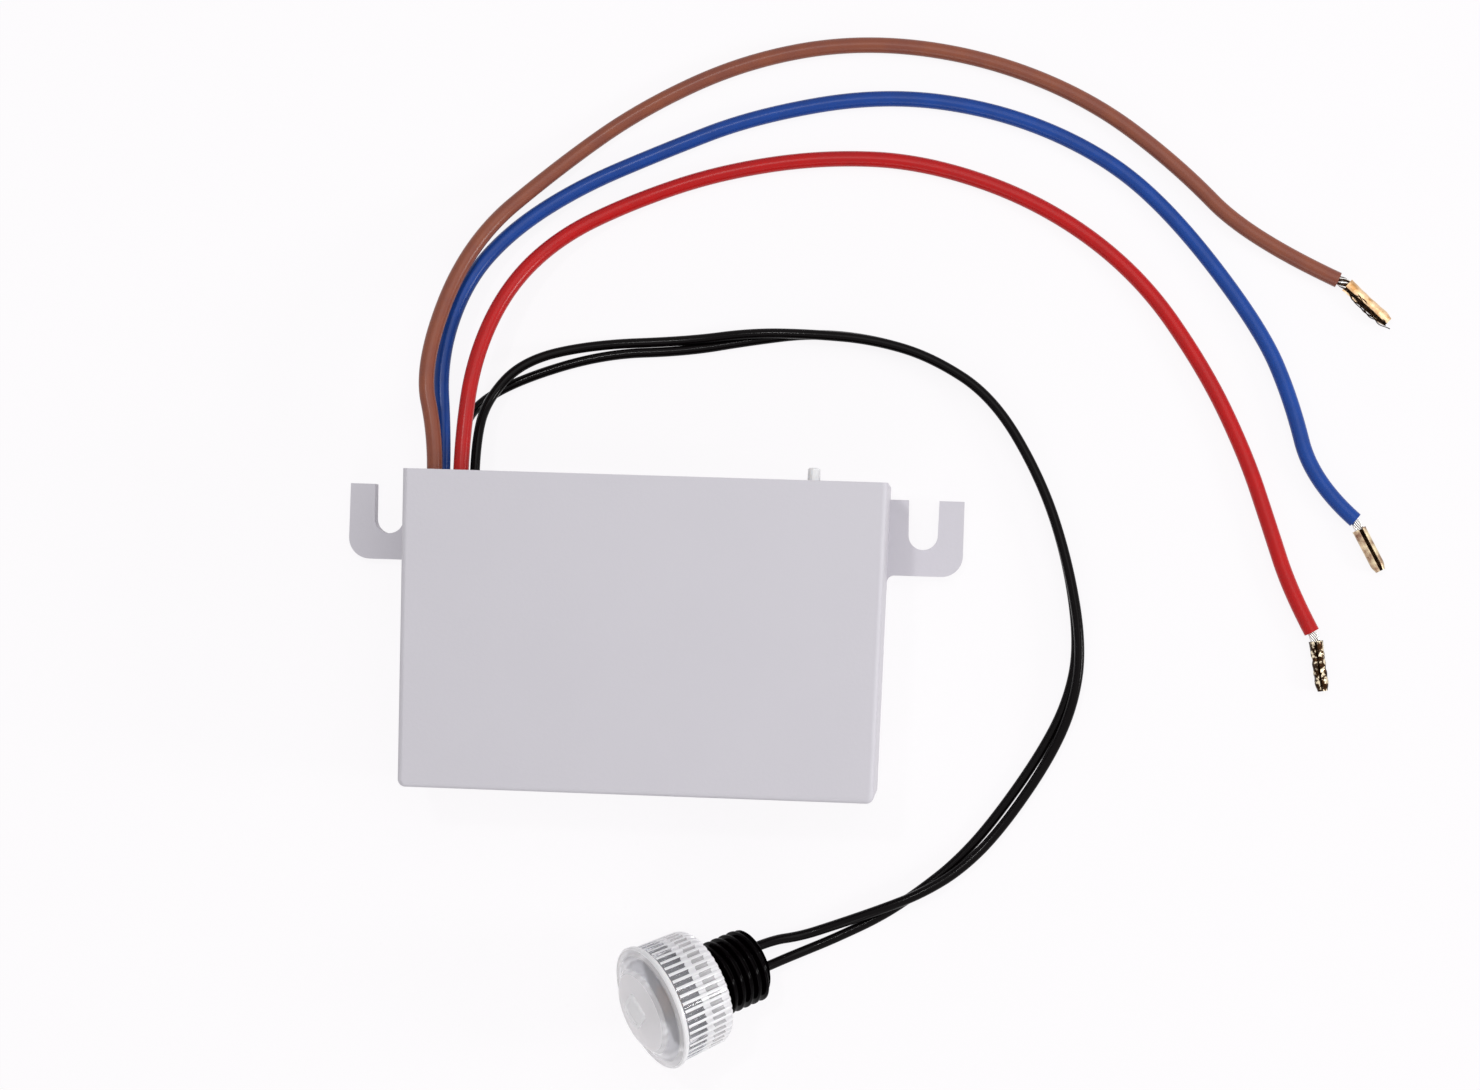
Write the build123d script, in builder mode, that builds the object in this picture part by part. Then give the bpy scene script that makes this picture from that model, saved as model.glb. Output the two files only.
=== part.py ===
from build123d import *
from math import atan2, cos, degrees, pi, radians, sin, sqrt, tan
import os

# Twilight switch: a sealed relay box that hangs on two open hooks, three mains leads with
# crimped ends, and a light sensor on two thin leads that screws into a panel.
# The box lies on its flat back. The origin is the middle of the back, +Y is the lead side,
# +Z is the front face. Lengths are in millimetres, angles in degrees.

os.makedirs("parts", exist_ok=True)

# Housing
housing_width = 75.4
housing_length = 49.5
housing_height = 23.0
wall = 1.6
draft = 0.8
edge_round = 0.9
corner_round = 1.2
rail_thickness = 1.3
rail_overlap = 1.2

# Hooks beside the housing, each with an open slot for a screw
slot_side_gap = 5.4
slot_width = 4.7
slot_depth = 7.9
slot_draft = 0.1
hook_drop = 2.0
hook_height = 12.1
hook_thickness = 2.8
hook_outer_leg = 4.1
hook_corner = 3.4
hook_flare = 1.2

# Closing plate and the resin over it
rim_recess = 0.9
resin_depth = 1.6
plate_thickness = 2.0

# Clearances between pieces
fit_gap = 0.15
hole_gap = 0.08
curved_gap = 0.03
running_gap = 0.06

# Circuit board
board_thickness = 1.6
board_bottom = 3.6
board_side_gap = 0.3
board_setback = 3.25

# Light-level trimmer, turned by its spindle from outside
trimmer_inset = 12.0
trimmer_rise = 5.0
trimmer_size = 9.5
trimmer_depth = 4.9
trimmer_front_wall = 0.85
spindle_diameter = 2.0
spindle_reach = 2.4
spindle_slot_width = 0.5
spindle_slot_depth = 0.8
rotor_diameter = 6.6
rotor_thickness = 1.0
rotor_gap = 0.1
collar_wall = 0.9
track_thickness = 0.6
post_sides = 8
can_sides = 16

# Relay
relay_x = 3.0
relay_length = 19.0
relay_width = 15.5
relay_height = 15.2
relay_wall = 0.7
relay_base_height = 1.8
yoke_thickness = 1.2
yoke_width = 9.0
core_radius = 1.8
pole_radius = 3.0
pole_thickness = 0.8
bobbin_flange = 9.6
bobbin_flange_thickness = 0.8
winding_radius = 4.7
armature_thickness = 1.0
armature_width = 8.0
armature_travel = 3.0
armature_gap = 0.1
leaf_thickness = 0.2
leaf_width = 3.0
contact_radius = 0.8
contact_height = 0.4
contact_gap = 0.05
strip_thickness = 0.25

# Leads
mains_diameter = 2.5
sensor_lead_diameter = 1.6
strand_diameter = 1.2
ferrule_diameter = 2.2
ferrule_wall = 0.25
ferrule_seam = 0.35
ferrule_start = 0.3
first_run = 6.2
mains_sides = 6
sensor_sides = 6
side_growth = 1.02
ferrule_sides = 12
pad_setback = 3.5

# Sensor head: a threaded stem with a ribbed clear cap, propped on the stem's end
thread_diameter = 12.0
thread_length = 9.4
thread_chamfer = 0.5
stem_bore = 7.2
stem_inner_length = 3.8
stem_inner_radius = 5.6
stem_sides = 24
head_x = 18.1
head_y = -51.9
head_yaw = 23.3
head_tilt = 31.0
cap_rear_radius = 9.4
cap_front_radius = 9.7
cap_length = 9.0
cap_wall = 1.5
cap_rear_round = 1.0
cap_rear_drop = 0.6
flange_radius = 10.15
flange_thickness = 0.9
shoulder_radius = 9.2
plateau_radius = 6.9
plateau_rise = 1.7
dome_rise = 3.0
front_wall = 1.5
flute_count = 48
flute_floor = 9.12
rib_share = 0.5
dome_top_radius = 0.9
seal_start = 0.2
seal_thickness = 1.6
holder_thickness = 2.2
holder_web = 1.5
cell_radius = 2.55
cell_thickness = 2.1
cell_leg_spacing = 3.4
cell_leg_diameter = 0.5
potting_recess = 0.6
potting_depth = 4.8
under_offset = -1.4
over_offset = 2.2

# Planes and places that follow from the sizes above
mouth_y = housing_length / 2
closed_y = -housing_length / 2
left_x = -housing_width / 2
right_x = housing_width / 2
resin_face_y = mouth_y - rim_recess
plate_face_y = resin_face_y - resin_depth
plate_back_y = plate_face_y - plate_thickness
cavity_end_y = closed_y + wall
board_top = board_bottom + board_thickness
board_front_y = plate_back_y - board_setback
board_rear_y = cavity_end_y + board_side_gap
spindle_x = right_x - trimmer_inset
spindle_z = board_top + trimmer_rise

# Where each lead leaves the resin: distance from the housing's left side, and height
brown_exit = (3.5, 13.5)
blue_exit = (4.1, 9.4)
red_exit = (7.7, 13.5)
under_exit = (6.5, 7.6)
over_exit = (9.1, 8.2)
# Solder pads of the leads: distance from the left side, and from the board's front edge
brown_pad = (5.4, pad_setback)
blue_pad = (9.1, pad_setback)
red_pad = (16.2, pad_setback + 2.5)
under_pad = (12.9, pad_setback)
over_pad = (19.4, pad_setback)

# Axes of the sensor head: along the stem towards the lens, and level across it
tilt = radians(head_tilt)
yaw = radians(head_yaw)
lens_way = Vector(-cos(yaw) * cos(tilt), -sin(yaw) * cos(tilt), sin(tilt))
level_way = Vector(-sin(yaw), cos(yaw), 0)
head_z = thread_diameter / 2 * cos(tilt) - thread_chamfer * sin(tilt)
head_plane = Plane(origin=(head_x, head_y, head_z), x_dir=level_way, z_dir=lens_way)
head_place = head_plane.location


def start_of(exit_place):
    """First two points of a lead: square out of the resin's face."""
    x = left_x + exit_place[0]
    z = exit_place[1]
    return [(x, resin_face_y, z), (x, resin_face_y + first_run, z)]


def end_at_head(offset):
    """Last two points of a sensor lead: along the stem's axis onto the potting."""
    seat = Vector(head_x, head_y, head_z) + lens_way * potting_recess + level_way * offset
    outside = seat - lens_way * 5.0
    return [tuple(outside), tuple(seat)]


# Routes of the free leads, chosen by hand
brown_route = start_of(brown_exit) + [
    (-36.8, 41.5, 12.9), (-31.0, 61.8, 7.0), (-17.4, 75.0, 2.0), (-4.4, 84.8, 1.3),
    (12.0, 92.8, 1.3), (30.0, 96.4, 1.3), (49.3, 94.6, 1.3), (67.4, 88.0, 1.3),
    (81.7, 77.7, 1.3), (93.4, 66.2, 1.3), (107.7, 59.9, 1.3),
]
blue_route = start_of(blue_exit) + [
    (-34.9, 43.0, 8.2), (-31.6, 55.3, 5.9), (-25.0, 64.0, 3.4), (-14.5, 71.6, 1.5),
    (-1.2, 77.7, 1.3), (13.7, 83.9, 1.3), (34.1, 87.9, 1.3), (52.9, 85.9, 1.3),
    (69.7, 79.2, 1.3), (81.9, 69.2, 1.3), (95.8, 51.7, 1.3), (100.9, 40.6, 1.3),
    (105.2, 28.4, 1.3), (111.5, 21.8, 1.3),
]
red_route = start_of(red_exit) + [
    (-28.9, 43.0, 11.3), (-24.5, 54.8, 7.4), (-16.8, 63.4, 3.9), (-5.5, 69.6, 1.5),
    (8.4, 74.7, 1.3), (25.0, 77.6, 1.3), (41.7, 77.2, 1.3), (60.4, 71.1, 1.3),
    (76.1, 60.1, 1.3), (87.1, 45.1, 1.3), (94.0, 31.5, 1.3), (98.0, 20.4, 1.3),
    (101.6, 10.2, 1.3), (105.2, 3.8, 1.3),
]
# The two sensor leads lie side by side, and the over lead climbs on the under lead twice
under_route = start_of(under_exit) + [
    (-28.8, 37.5, 4.7), (-21.4, 43.6, 1.1), (-11.0, 46.5, 0.85), (4.0, 47.2, 0.85),
    (14.3, 48.5, 0.85), (24.3, 49.2, 0.85), (34.0, 48.5, 0.85), (43.5, 45.9, 0.85),
    (53.6, 39.8, 0.85), (61.6, 26.9, 0.85), (66.2, 14.2, 0.85), (68.5, 0.5, 0.85),
    (67.0, -8.6, 0.85), (62.8, -17.4, 0.85), (55.4, -28.6, 0.85), (49.8, -35.1, 0.85),
    (44.2, -39.8, 0.85), (38.4, -44.0, 0.85), (31.0, -47.8, 0.85), (26.4, -49.9, 0.85),
] + end_at_head(under_offset)
over_route = start_of(over_exit) + [
    (-27.2, 36.3, 4.8), (-20.9, 41.2, 1.1), (-11.0, 44.4, 0.85), (4.2, 45.3, 0.85),
    (14.7, 47.1, 2.2), (24.3, 48.9, 2.8), (34.0, 48.3, 2.8), (43.5, 45.8, 2.8),
    (53.6, 39.6, 2.8), (61.6, 26.8, 2.8), (66.2, 14.1, 2.8), (68.9, 0.5, 2.75),
    (67.9, -9.2, 2.5), (64.1, -18.4, 1.7), (56.7, -29.8, 1.6), (50.7, -36.1, 2.2),
    (44.4, -40.1, 2.8), (37.9, -42.9, 2.45), (30.4, -45.9, 1.0), (25.4, -47.7, 0.9),
] + end_at_head(over_offset)
brown_ferrule_end = (115.7, 53.4, 1.3)
blue_ferrule_end = (115.8, 14.0, 1.3)
red_ferrule_end = (107.2, -5.5, 1.3)
strand_step = 1.3


def outer_width(y):
    """Outer width of the housing at y: both sides draw in towards the closed end."""
    return housing_width - 2 * (mouth_y - y) * tan(radians(draft))


def outer_height(y):
    """Outer height at y: only the front face has draft, so that the back stays flat."""
    return housing_height - (mouth_y - y) * tan(radians(draft))


def drafted_block(front_y, rear_y, inset, bottom):
    """A block between two y planes that follows the housing's draft, inset on all sides."""
    front_half = outer_width(front_y) / 2 - inset
    rear_half = outer_width(rear_y) / 2 - inset
    with BuildPart() as piece:
        with BuildSketch(Plane.XY.offset(bottom)):
            with BuildLine():
                Polyline(
                    (-front_half, front_y), (front_half, front_y),
                    (rear_half, rear_y), (-rear_half, rear_y), close=True,
                )
            make_face()
        extrude(amount=housing_height)
        roof = Plane(
            origin=(0, front_y, outer_height(front_y) - inset),
            z_dir=(0, -tan(radians(draft)), 1),
        )
        split(bisect_by=roof, keep=Keep.BOTTOM)
    return piece.part


def turned(outline):
    """A solid of revolution about Z from a closed outline of (radius, height) points."""
    with BuildPart() as piece:
        with BuildSketch(Plane.XZ):
            with BuildLine():
                Polyline(*outline, close=True)
            make_face()
        revolve(axis=Axis.Z)
    return piece.part


def dome_point(rim_radius, rim_height, top, radius):
    """The point at this radius on the ball that runs through the rim and has this top."""
    rise = top - rim_height
    ball = (rim_radius ** 2 + rise ** 2) / (2 * rise)
    return (radius, top - ball + sqrt(ball ** 2 - radius ** 2))


def ribbed_ring(tip_radius, floor_radius, height):
    """Cross-section of the ribs: flat tops with V-shaped grooves between them."""
    pitch = 360 / flute_count
    points = []
    for rib in range(flute_count):
        middle = rib * pitch
        for radius, angle in (
            (tip_radius, middle - pitch * rib_share / 2),
            (tip_radius, middle + pitch * rib_share / 2),
            (floor_radius, middle + pitch / 2),
        ):
            points.append((radius * cos(radians(angle)), radius * sin(radians(angle))))
    with BuildSketch(Plane.XY.offset(height)) as ring:
        Polygon(*points, align=None)
    return ring.sketch


def flat_sided(diameter, gap=0):
    """Corner radius of a lead's many-sided section, with a gap where it passes a hole."""
    return diameter / 2 * side_growth + gap


def tube(points, diameter, radii, sides):
    """A lead along straight runs joined by arcs, one radius per corner, with flat sides."""
    with BuildPart() as piece:
        with BuildLine() as path:
            FilletPolyline(*points, radius=radii)
        with BuildSketch(Plane(origin=path.line @ 0, x_dir=(0, 0, 1), z_dir=path.line % 0)):
            RegularPolygon(flat_sided(diameter), sides)
        sweep()
    return piece.part


def post(x, y, bottom, radius, height, hole=0, sides=post_sides):
    """An upright post with flat sides, for a round part that stays hidden."""
    with BuildPart() as piece:
        with BuildSketch(Plane.XY.offset(bottom)):
            with Locations((x, y)):
                RegularPolygon(radius, sides)
                if hole:
                    RegularPolygon(hole, sides, mode=Mode.SUBTRACT)
        extrude(amount=height)
    return piece.part


def step(low_radius, low, high_radius, high):
    """One step of the cap's turned form, with a flat side for each rib."""
    wide = max(low_radius, high_radius)
    inset = abs(low_radius - high_radius) * cos(pi / flute_count)
    start, rise = (low, high - low) if low_radius >= high_radius else (high, low - high)
    with BuildPart() as piece:
        with BuildSketch(Plane.XY.offset(start)):
            RegularPolygon(wide, flute_count, rotation=180 / flute_count)
        extrude(amount=rise, taper=degrees(atan2(inset, high - low)))
    return piece.part


def bend_radii(points):
    """One radius per corner: each arc takes 0.45 of the shorter run beside it."""
    radii = []
    for before, corner, after in zip(points, points[1:], points[2:]):
        run_in = Vector(*corner) - Vector(*before)
        run_out = Vector(*after) - Vector(*corner)
        turn = radians(run_in.get_angle(run_out))
        radii.append(0.45 * min(run_in.length, run_out.length) / tan(turn / 2))
    return radii


def path_length(points, radii):
    """Length of the filleted path: the runs less what each arc cuts off."""
    runs = [(Vector(*b) - Vector(*a)).length for a, b in zip(points, points[1:])]
    total = sum(runs)
    for before, corner, after, radius in zip(points, points[1:], points[2:], radii):
        run_in = Vector(*corner) - Vector(*before)
        run_out = Vector(*after) - Vector(*corner)
        turn = radians(run_in.get_angle(run_out))
        total += radius * turn - 2 * radius * tan(turn / 2)
    return total


def save(name, part):
    """Write one node of the object under its name."""
    part.label = name
    export_step(part, f"parts/{name}.step")


# Housing with its hooks and the rails for the board
board_width = outer_width(cavity_end_y) - 2 * wall - 2 * board_side_gap
rail_inner_x = board_width / 2 - rail_overlap
rail_outer_x = outer_width(mouth_y) / 2 - wall * 2 / 3
slot_x = housing_width / 2 + slot_side_gap
hook_top_y = mouth_y - hook_drop
hook_bottom_y = hook_top_y - hook_height
slot_end_y = hook_top_y - slot_depth + slot_width / 2
hook_outer_x = slot_x + slot_width / 2 + hook_outer_leg
hook_root_x = outer_width(hook_bottom_y) / 2
rail_length = plate_back_y - closed_y - wall / 2

with BuildPart() as housing:
    add(drafted_block(mouth_y, closed_y, 0, 0))
    upright_edges = [
        e for e in housing.edges()
        if e.center().Y < closed_y + 0.01 and abs(e.center().X) > housing_width / 3
    ]
    fillet(upright_edges, corner_round)
    front_face_edges = [
        e for e in housing.faces().sort_by(Axis.Z)[-1].edges()
        if e.center().Y < mouth_y - 0.01
    ]
    fillet(front_face_edges, edge_round)
    with BuildSketch() as hooks:
        with BuildSketch(mode=Mode.PRIVATE) as hook_outline:
            with BuildLine():
                Polyline(
                    (hook_root_x - wall / 2, hook_top_y),
                    (hook_outer_x, hook_top_y),
                    (hook_outer_x, hook_bottom_y),
                    (hook_root_x, hook_bottom_y),
                    (hook_root_x, hook_bottom_y - 2 * hook_flare),
                    (hook_root_x - wall / 2, hook_bottom_y - 2 * hook_flare),
                    close=True,
                )
            make_face()
            corners = hook_outline.vertices()
            fillet(corners.sort_by_distance((hook_outer_x, hook_bottom_y, 0))[0], hook_corner)
            corners = hook_outline.vertices()
            fillet(corners.sort_by_distance((hook_root_x, hook_bottom_y, 0))[0], hook_flare)
            with Locations((slot_x, slot_end_y)):
                Circle(slot_width / 2, mode=Mode.SUBTRACT)
            with BuildLine():
                Polyline(
                    (slot_x - slot_width / 2, slot_end_y),
                    (slot_x + slot_width / 2, slot_end_y),
                    (slot_x + slot_width / 2 + slot_draft, hook_top_y),
                    (slot_x - slot_width / 2 - slot_draft, hook_top_y),
                    close=True,
                )
            make_face(mode=Mode.SUBTRACT)
        add(hook_outline.sketch)
        add(hook_outline.sketch.mirror(Plane.YZ))
    extrude(amount=hook_thickness)
    add(drafted_block(mouth_y, cavity_end_y, wall, wall), mode=Mode.SUBTRACT)
    # The board lies on the lower rails, and the closing plate seats on the ends of all four
    for side in (-1, 1):
        with Locations((side * (rail_inner_x + rail_outer_x) / 2, plate_back_y, wall / 2)):
            Box(
                rail_outer_x - rail_inner_x, rail_length, board_bottom - wall / 2,
                align=(Align.CENTER, Align.MAX, Align.MIN),
            )
        upper_rail_z = board_top + fit_gap
        with Locations((side * (rail_inner_x + rail_outer_x) / 2, plate_back_y, upper_rail_z)):
            Box(
                rail_outer_x - rail_inner_x, rail_length, rail_thickness,
                align=(Align.CENTER, Align.MAX, Align.MIN),
            )
save("housing", housing.part)

# Closing plate with the collar that guides the spindle, and the resin poured over it
lead_exits = [
    (brown_exit, mains_diameter, mains_sides), (blue_exit, mains_diameter, mains_sides),
    (red_exit, mains_diameter, mains_sides), (under_exit, sensor_lead_diameter, sensor_sides),
    (over_exit, sensor_lead_diameter, sensor_sides),
]
window_low = (left_x + 2.1, 6.3)
window_high = (left_x + 10.1, 15.1)
collar_radius = spindle_diameter / 2 + running_gap + collar_wall
plate_width = outer_width(plate_back_y) - 2 * wall - 2 * fit_gap
plate_height = outer_height(plate_back_y) - 2 * wall - 2 * fit_gap

with BuildPart() as end_plate:
    with Locations((0, plate_back_y, wall + fit_gap)):
        Box(
            plate_width, plate_thickness, plate_height,
            align=(Align.CENTER, Align.MIN, Align.MIN),
        )
    with BuildSketch(Plane.XZ.offset(-plate_face_y)):
        with Locations((spindle_x, spindle_z)):
            Circle(collar_radius)
    extrude(amount=-resin_depth)
    with BuildSketch(Plane.XZ.offset(-plate_back_y)):
        with Locations((spindle_x, spindle_z)):
            Circle(spindle_diameter / 2 + running_gap)
        with Locations(window_low):
            Rectangle(
                window_high[0] - window_low[0], window_high[1] - window_low[1],
                align=(Align.MIN, Align.MIN),
            )
    extrude(amount=-(plate_thickness + resin_depth), mode=Mode.SUBTRACT)
save("end_plate", end_plate.part)

with BuildPart() as resin:
    add(drafted_block(resin_face_y, plate_face_y, wall + curved_gap, wall + curved_gap))
    with BuildSketch(Plane.XZ.offset(-plate_face_y)):
        with Locations((spindle_x, spindle_z)):
            Circle(collar_radius + curved_gap)
        for place, diameter, sides in lead_exits:
            with Locations((left_x + place[0], place[1])):
                RegularPolygon(flat_sided(diameter, curved_gap), sides, rotation=90)
    extrude(amount=-resin_depth, mode=Mode.SUBTRACT)
save("resin", resin.part)

with BuildPart() as board:
    with Locations((0, board_rear_y, board_bottom)):
        Box(
            board_width, board_front_y - board_rear_y, board_thickness,
            align=(Align.CENTER, Align.MIN, Align.MIN),
        )
save("board", board.part)

# Trimmer: the rotor turns in a closed pocket on a resistive track
trimmer_front_y = board_front_y - 0.1
pocket_front_y = trimmer_front_y - trimmer_front_wall
pocket_rear_y = pocket_front_y - rotor_thickness - 2 * rotor_gap
rotor_rear_y = pocket_rear_y + rotor_gap
pin_radius = 0.75
pin_length = 1.6
spindle_tip_y = mouth_y + spindle_reach

with BuildPart() as trimmer_body:
    with Locations((spindle_x, trimmer_front_y, board_top)):
        Box(
            trimmer_size, trimmer_depth, trimmer_rise + trimmer_size / 2,
            align=(Align.CENTER, Align.MAX, Align.MIN),
        )
    chamfer(trimmer_body.edges().filter_by(Axis.Y).sort_by(Axis.Z)[-2:], 0.6)
    pocket_radius = (rotor_diameter / 2 + rotor_gap) / cos(pi / can_sides)
    with BuildSketch(Plane.XZ.offset(-pocket_rear_y)):
        with Locations((spindle_x, spindle_z)):
            RegularPolygon(pocket_radius, can_sides)
    extrude(amount=-(pocket_front_y - pocket_rear_y), mode=Mode.SUBTRACT)
    with BuildSketch(Plane.XZ.offset(-pocket_front_y)):
        with Locations((spindle_x, spindle_z)):
            Circle(spindle_diameter / 2 + running_gap)
    extrude(amount=-trimmer_front_wall, mode=Mode.SUBTRACT)
    with BuildSketch(Plane.XZ.offset(-pocket_rear_y)):
        with Locations((spindle_x, spindle_z)):
            RegularPolygon((pin_radius + running_gap) / cos(pi / post_sides), post_sides)
    extrude(amount=pin_length + rotor_gap, mode=Mode.SUBTRACT)
save("trimmer_body", trimmer_body.part)

with BuildPart() as trimmer_spindle:
    with BuildSketch(Plane.XZ.offset(-rotor_rear_y)):
        with Locations((spindle_x, spindle_z)):
            RegularPolygon(rotor_diameter / 2, can_sides)
    extrude(amount=-rotor_thickness)
    with BuildSketch(Plane.XZ.offset(-rotor_rear_y)):
        with Locations((spindle_x, spindle_z)):
            Circle(spindle_diameter / 2)
    extrude(amount=-(spindle_tip_y - rotor_rear_y))
    chamfer(trimmer_spindle.edges().sort_by(Axis.Y)[-1], 0.25)
    with BuildSketch(Plane.XZ.offset(-rotor_rear_y)):
        with Locations((spindle_x, spindle_z)):
            RegularPolygon(pin_radius, post_sides)
    extrude(amount=pin_length)
    with Locations((spindle_x, spindle_tip_y, spindle_z)):
        Box(
            2 * spindle_diameter, spindle_slot_depth, spindle_slot_width,
            align=(Align.CENTER, Align.MAX, Align.CENTER), mode=Mode.SUBTRACT,
        )
save("trimmer_spindle", trimmer_spindle.part)

# Relay: coil and yoke, an armature that drops on the pole, and a change-over contact
relay_y = board_rear_y + relay_width / 2 + 1.6
base_top = board_top + relay_base_height
yoke_left_x = relay_x - relay_length / 2 + relay_wall + 1.2
yoke_right_x = yoke_left_x + yoke_thickness
hinge_x = yoke_left_x + yoke_thickness / 2
coil_x = yoke_right_x + 0.4 + bobbin_flange / 2
contact_x = coil_x + bobbin_flange / 2 + 2.2
armature_z = board_top + relay_height - relay_wall - 2.4
travel = radians(armature_travel)
pole_top = armature_z - (coil_x + pole_radius - hinge_x) * sin(travel) - 0.14
bobbin_bottom = base_top + yoke_thickness
bobbin_top = pole_top - pole_thickness
leaf_bottom = armature_z + armature_thickness
moving_low = leaf_bottom - contact_height
moving_high = leaf_bottom + leaf_thickness + contact_height
open_top = moving_low - (contact_x + contact_radius - hinge_x) * sin(travel) - contact_gap
closed_bottom = moving_high + contact_gap
centred_low = (Align.CENTER, Align.CENTER, Align.MIN)
left_low = (Align.MIN, Align.CENTER, Align.MIN)

with BuildPart() as relay_cover:
    with Locations((relay_x, relay_y, board_top)):
        Box(relay_length, relay_width, relay_height, align=centred_low)
    chamfer(relay_cover.edges().filter_by(Axis.Z), 0.6)
    chamfer(relay_cover.faces().sort_by(Axis.Z)[-1].edges(), 0.4)
    with Locations((relay_x, relay_y, board_top)):
        Box(
            relay_length - 2 * relay_wall, relay_width - 2 * relay_wall,
            relay_height - relay_wall, align=centred_low, mode=Mode.SUBTRACT,
        )
save("relay_cover", relay_cover.part)

with BuildPart() as relay_base:
    with Locations((relay_x, relay_y, board_top)):
        Box(
            relay_length - 2 * relay_wall - 2 * fit_gap,
            relay_width - 2 * relay_wall - 2 * fit_gap,
            relay_base_height, align=centred_low,
        )
save("relay_base", relay_base.part)

with BuildPart() as relay_yoke:
    with Locations((yoke_left_x, relay_y, base_top)):
        Box(yoke_thickness, yoke_width, armature_z - armature_gap - base_top, align=left_low)
        Box(
            coil_x + bobbin_flange / 2 - yoke_left_x, yoke_width, yoke_thickness,
            align=left_low,
        )
save("relay_yoke", relay_yoke.part)

with BuildPart() as relay_core:
    add(post(coil_x, relay_y, bobbin_bottom, core_radius, bobbin_top - bobbin_bottom))
    add(post(coil_x, relay_y, bobbin_top, pole_radius, pole_thickness, sides=can_sides))
save("relay_core", relay_core.part)

with BuildPart() as relay_bobbin:
    for flange_z in (bobbin_bottom, bobbin_top - bobbin_flange_thickness):
        with Locations((coil_x, relay_y, flange_z)):
            Box(bobbin_flange, bobbin_flange, bobbin_flange_thickness, align=centred_low)
    add(post(coil_x, relay_y, bobbin_bottom, core_radius + 0.8, bobbin_top - bobbin_bottom))
    add(
        post(coil_x, relay_y, bobbin_bottom, core_radius + curved_gap, bobbin_top - bobbin_bottom),
        mode=Mode.SUBTRACT,
    )
save("relay_bobbin", relay_bobbin.part)

with BuildPart() as relay_winding:
    winding_bottom = bobbin_bottom + bobbin_flange_thickness + curved_gap
    winding_height = bobbin_top - bobbin_bottom - 2 * bobbin_flange_thickness - 2 * curved_gap
    add(
        post(
            coil_x, relay_y, winding_bottom, winding_radius, winding_height,
            hole=(core_radius + 0.8 + curved_gap) / cos(pi / can_sides), sides=can_sides,
        )
    )
save("relay_winding", relay_winding.part)

with BuildPart() as relay_armature:
    with Locations((yoke_left_x, relay_y, armature_z)):
        Box(
            coil_x + pole_radius + 0.6 - yoke_left_x, armature_width, armature_thickness,
            align=left_low,
        )
    with Locations((hinge_x + 2.0, relay_y, leaf_bottom)):
        Box(
            contact_x + contact_radius - hinge_x - 2.0, leaf_width, leaf_thickness,
            align=left_low,
        )
    add(post(contact_x, relay_y, moving_low, contact_radius, moving_high - moving_low))
save("relay_armature", relay_armature.part)

with BuildPart() as relay_contacts:
    open_post_x = contact_x + contact_radius + 0.6
    closed_post_x = open_post_x + 0.9
    open_arm_z = open_top - contact_height - strip_thickness
    closed_arm_z = closed_bottom + contact_height
    with Locations((open_post_x, relay_y, base_top)):
        Box(strip_thickness, leaf_width, open_top - contact_height - base_top, align=left_low)
    with Locations((contact_x - contact_radius, relay_y, open_arm_z)):
        Box(open_post_x - contact_x + contact_radius, leaf_width, strip_thickness, align=left_low)
    add(post(contact_x, relay_y, open_arm_z, contact_radius, open_top - open_arm_z))
    with Locations((closed_post_x, relay_y, base_top)):
        Box(
            strip_thickness, leaf_width, closed_arm_z + strip_thickness - base_top,
            align=left_low,
        )
    with Locations((contact_x - contact_radius, relay_y, closed_arm_z)):
        Box(
            closed_post_x - contact_x + contact_radius, leaf_width, strip_thickness,
            align=left_low,
        )
    add(post(contact_x, relay_y, closed_bottom, contact_radius, contact_height + strip_thickness))
save("relay_contacts", relay_contacts.part)


def lying_part(x, y, body_diameter, body_length, span, wire_diameter, turn):
    """A round body lying over the board on a wire bent down at both ends."""
    rise = body_diameter / 2 + 0.5
    with BuildPart() as piece:
        with BuildSketch(Plane.YZ.offset(-body_length / 2)):
            RegularPolygon(body_diameter / 2, post_sides)
        extrude(amount=body_length)
        with BuildLine() as path:
            Polyline((-span / 2, 0, -rise), (-span / 2, 0, 0), (span / 2, 0, 0), (span / 2, 0, -rise))
        with BuildSketch(Plane.XY.offset(-rise)):
            with Locations((-span / 2, 0)):
                RegularPolygon(wire_diameter / 2, 4)
        sweep(path=path.line, transition=Transition.RIGHT)
    return piece.part.moved(Location((x, y, board_top + rise), (0, 0, turn)))


# Parts on the board, each group tied to the nearest edges of the board
left_group_x = -board_width / 2 + 11.6
right_group_x = board_width / 2 - 13.1
rear_row_y = board_rear_y + 6.35
front_row_y = board_front_y - 8.5

with BuildPart() as film_capacitor:
    with Locations((left_group_x, rear_row_y, board_top)):
        Box(18.0, 8.5, 14.5, align=centred_low)
    chamfer(film_capacitor.edges().filter_by(Axis.Z), 0.7)
    chamfer(film_capacitor.faces().sort_by(Axis.Z)[-1].edges(), 0.5)
save("film_capacitor", film_capacitor.part)

with BuildPart() as varistor:
    with BuildSketch(Plane.XZ.offset(-(rear_row_y + 10.3))):
        with Locations((left_group_x, board_top + 5.7)):
            RegularPolygon(4.5, can_sides)
    extrude(amount=3.6)
    for leg_x in (-2.5, 2.5):
        add(post(left_group_x + leg_x, rear_row_y + 8.5, board_top, 0.4, 2.8))
save("varistor", varistor.part)

with BuildPart() as surge_resistor:
    add(lying_part(left_group_x, rear_row_y + 15.0, 4.2, 11.0, 15.0, 0.8, 0))
save("surge_resistor", surge_resistor.part)

with BuildPart() as bleed_resistor:
    add(lying_part(left_group_x, front_row_y - 4.0, 2.5, 6.5, 10.0, 0.6, 0))
save("bleed_resistor", bleed_resistor.part)

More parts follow.
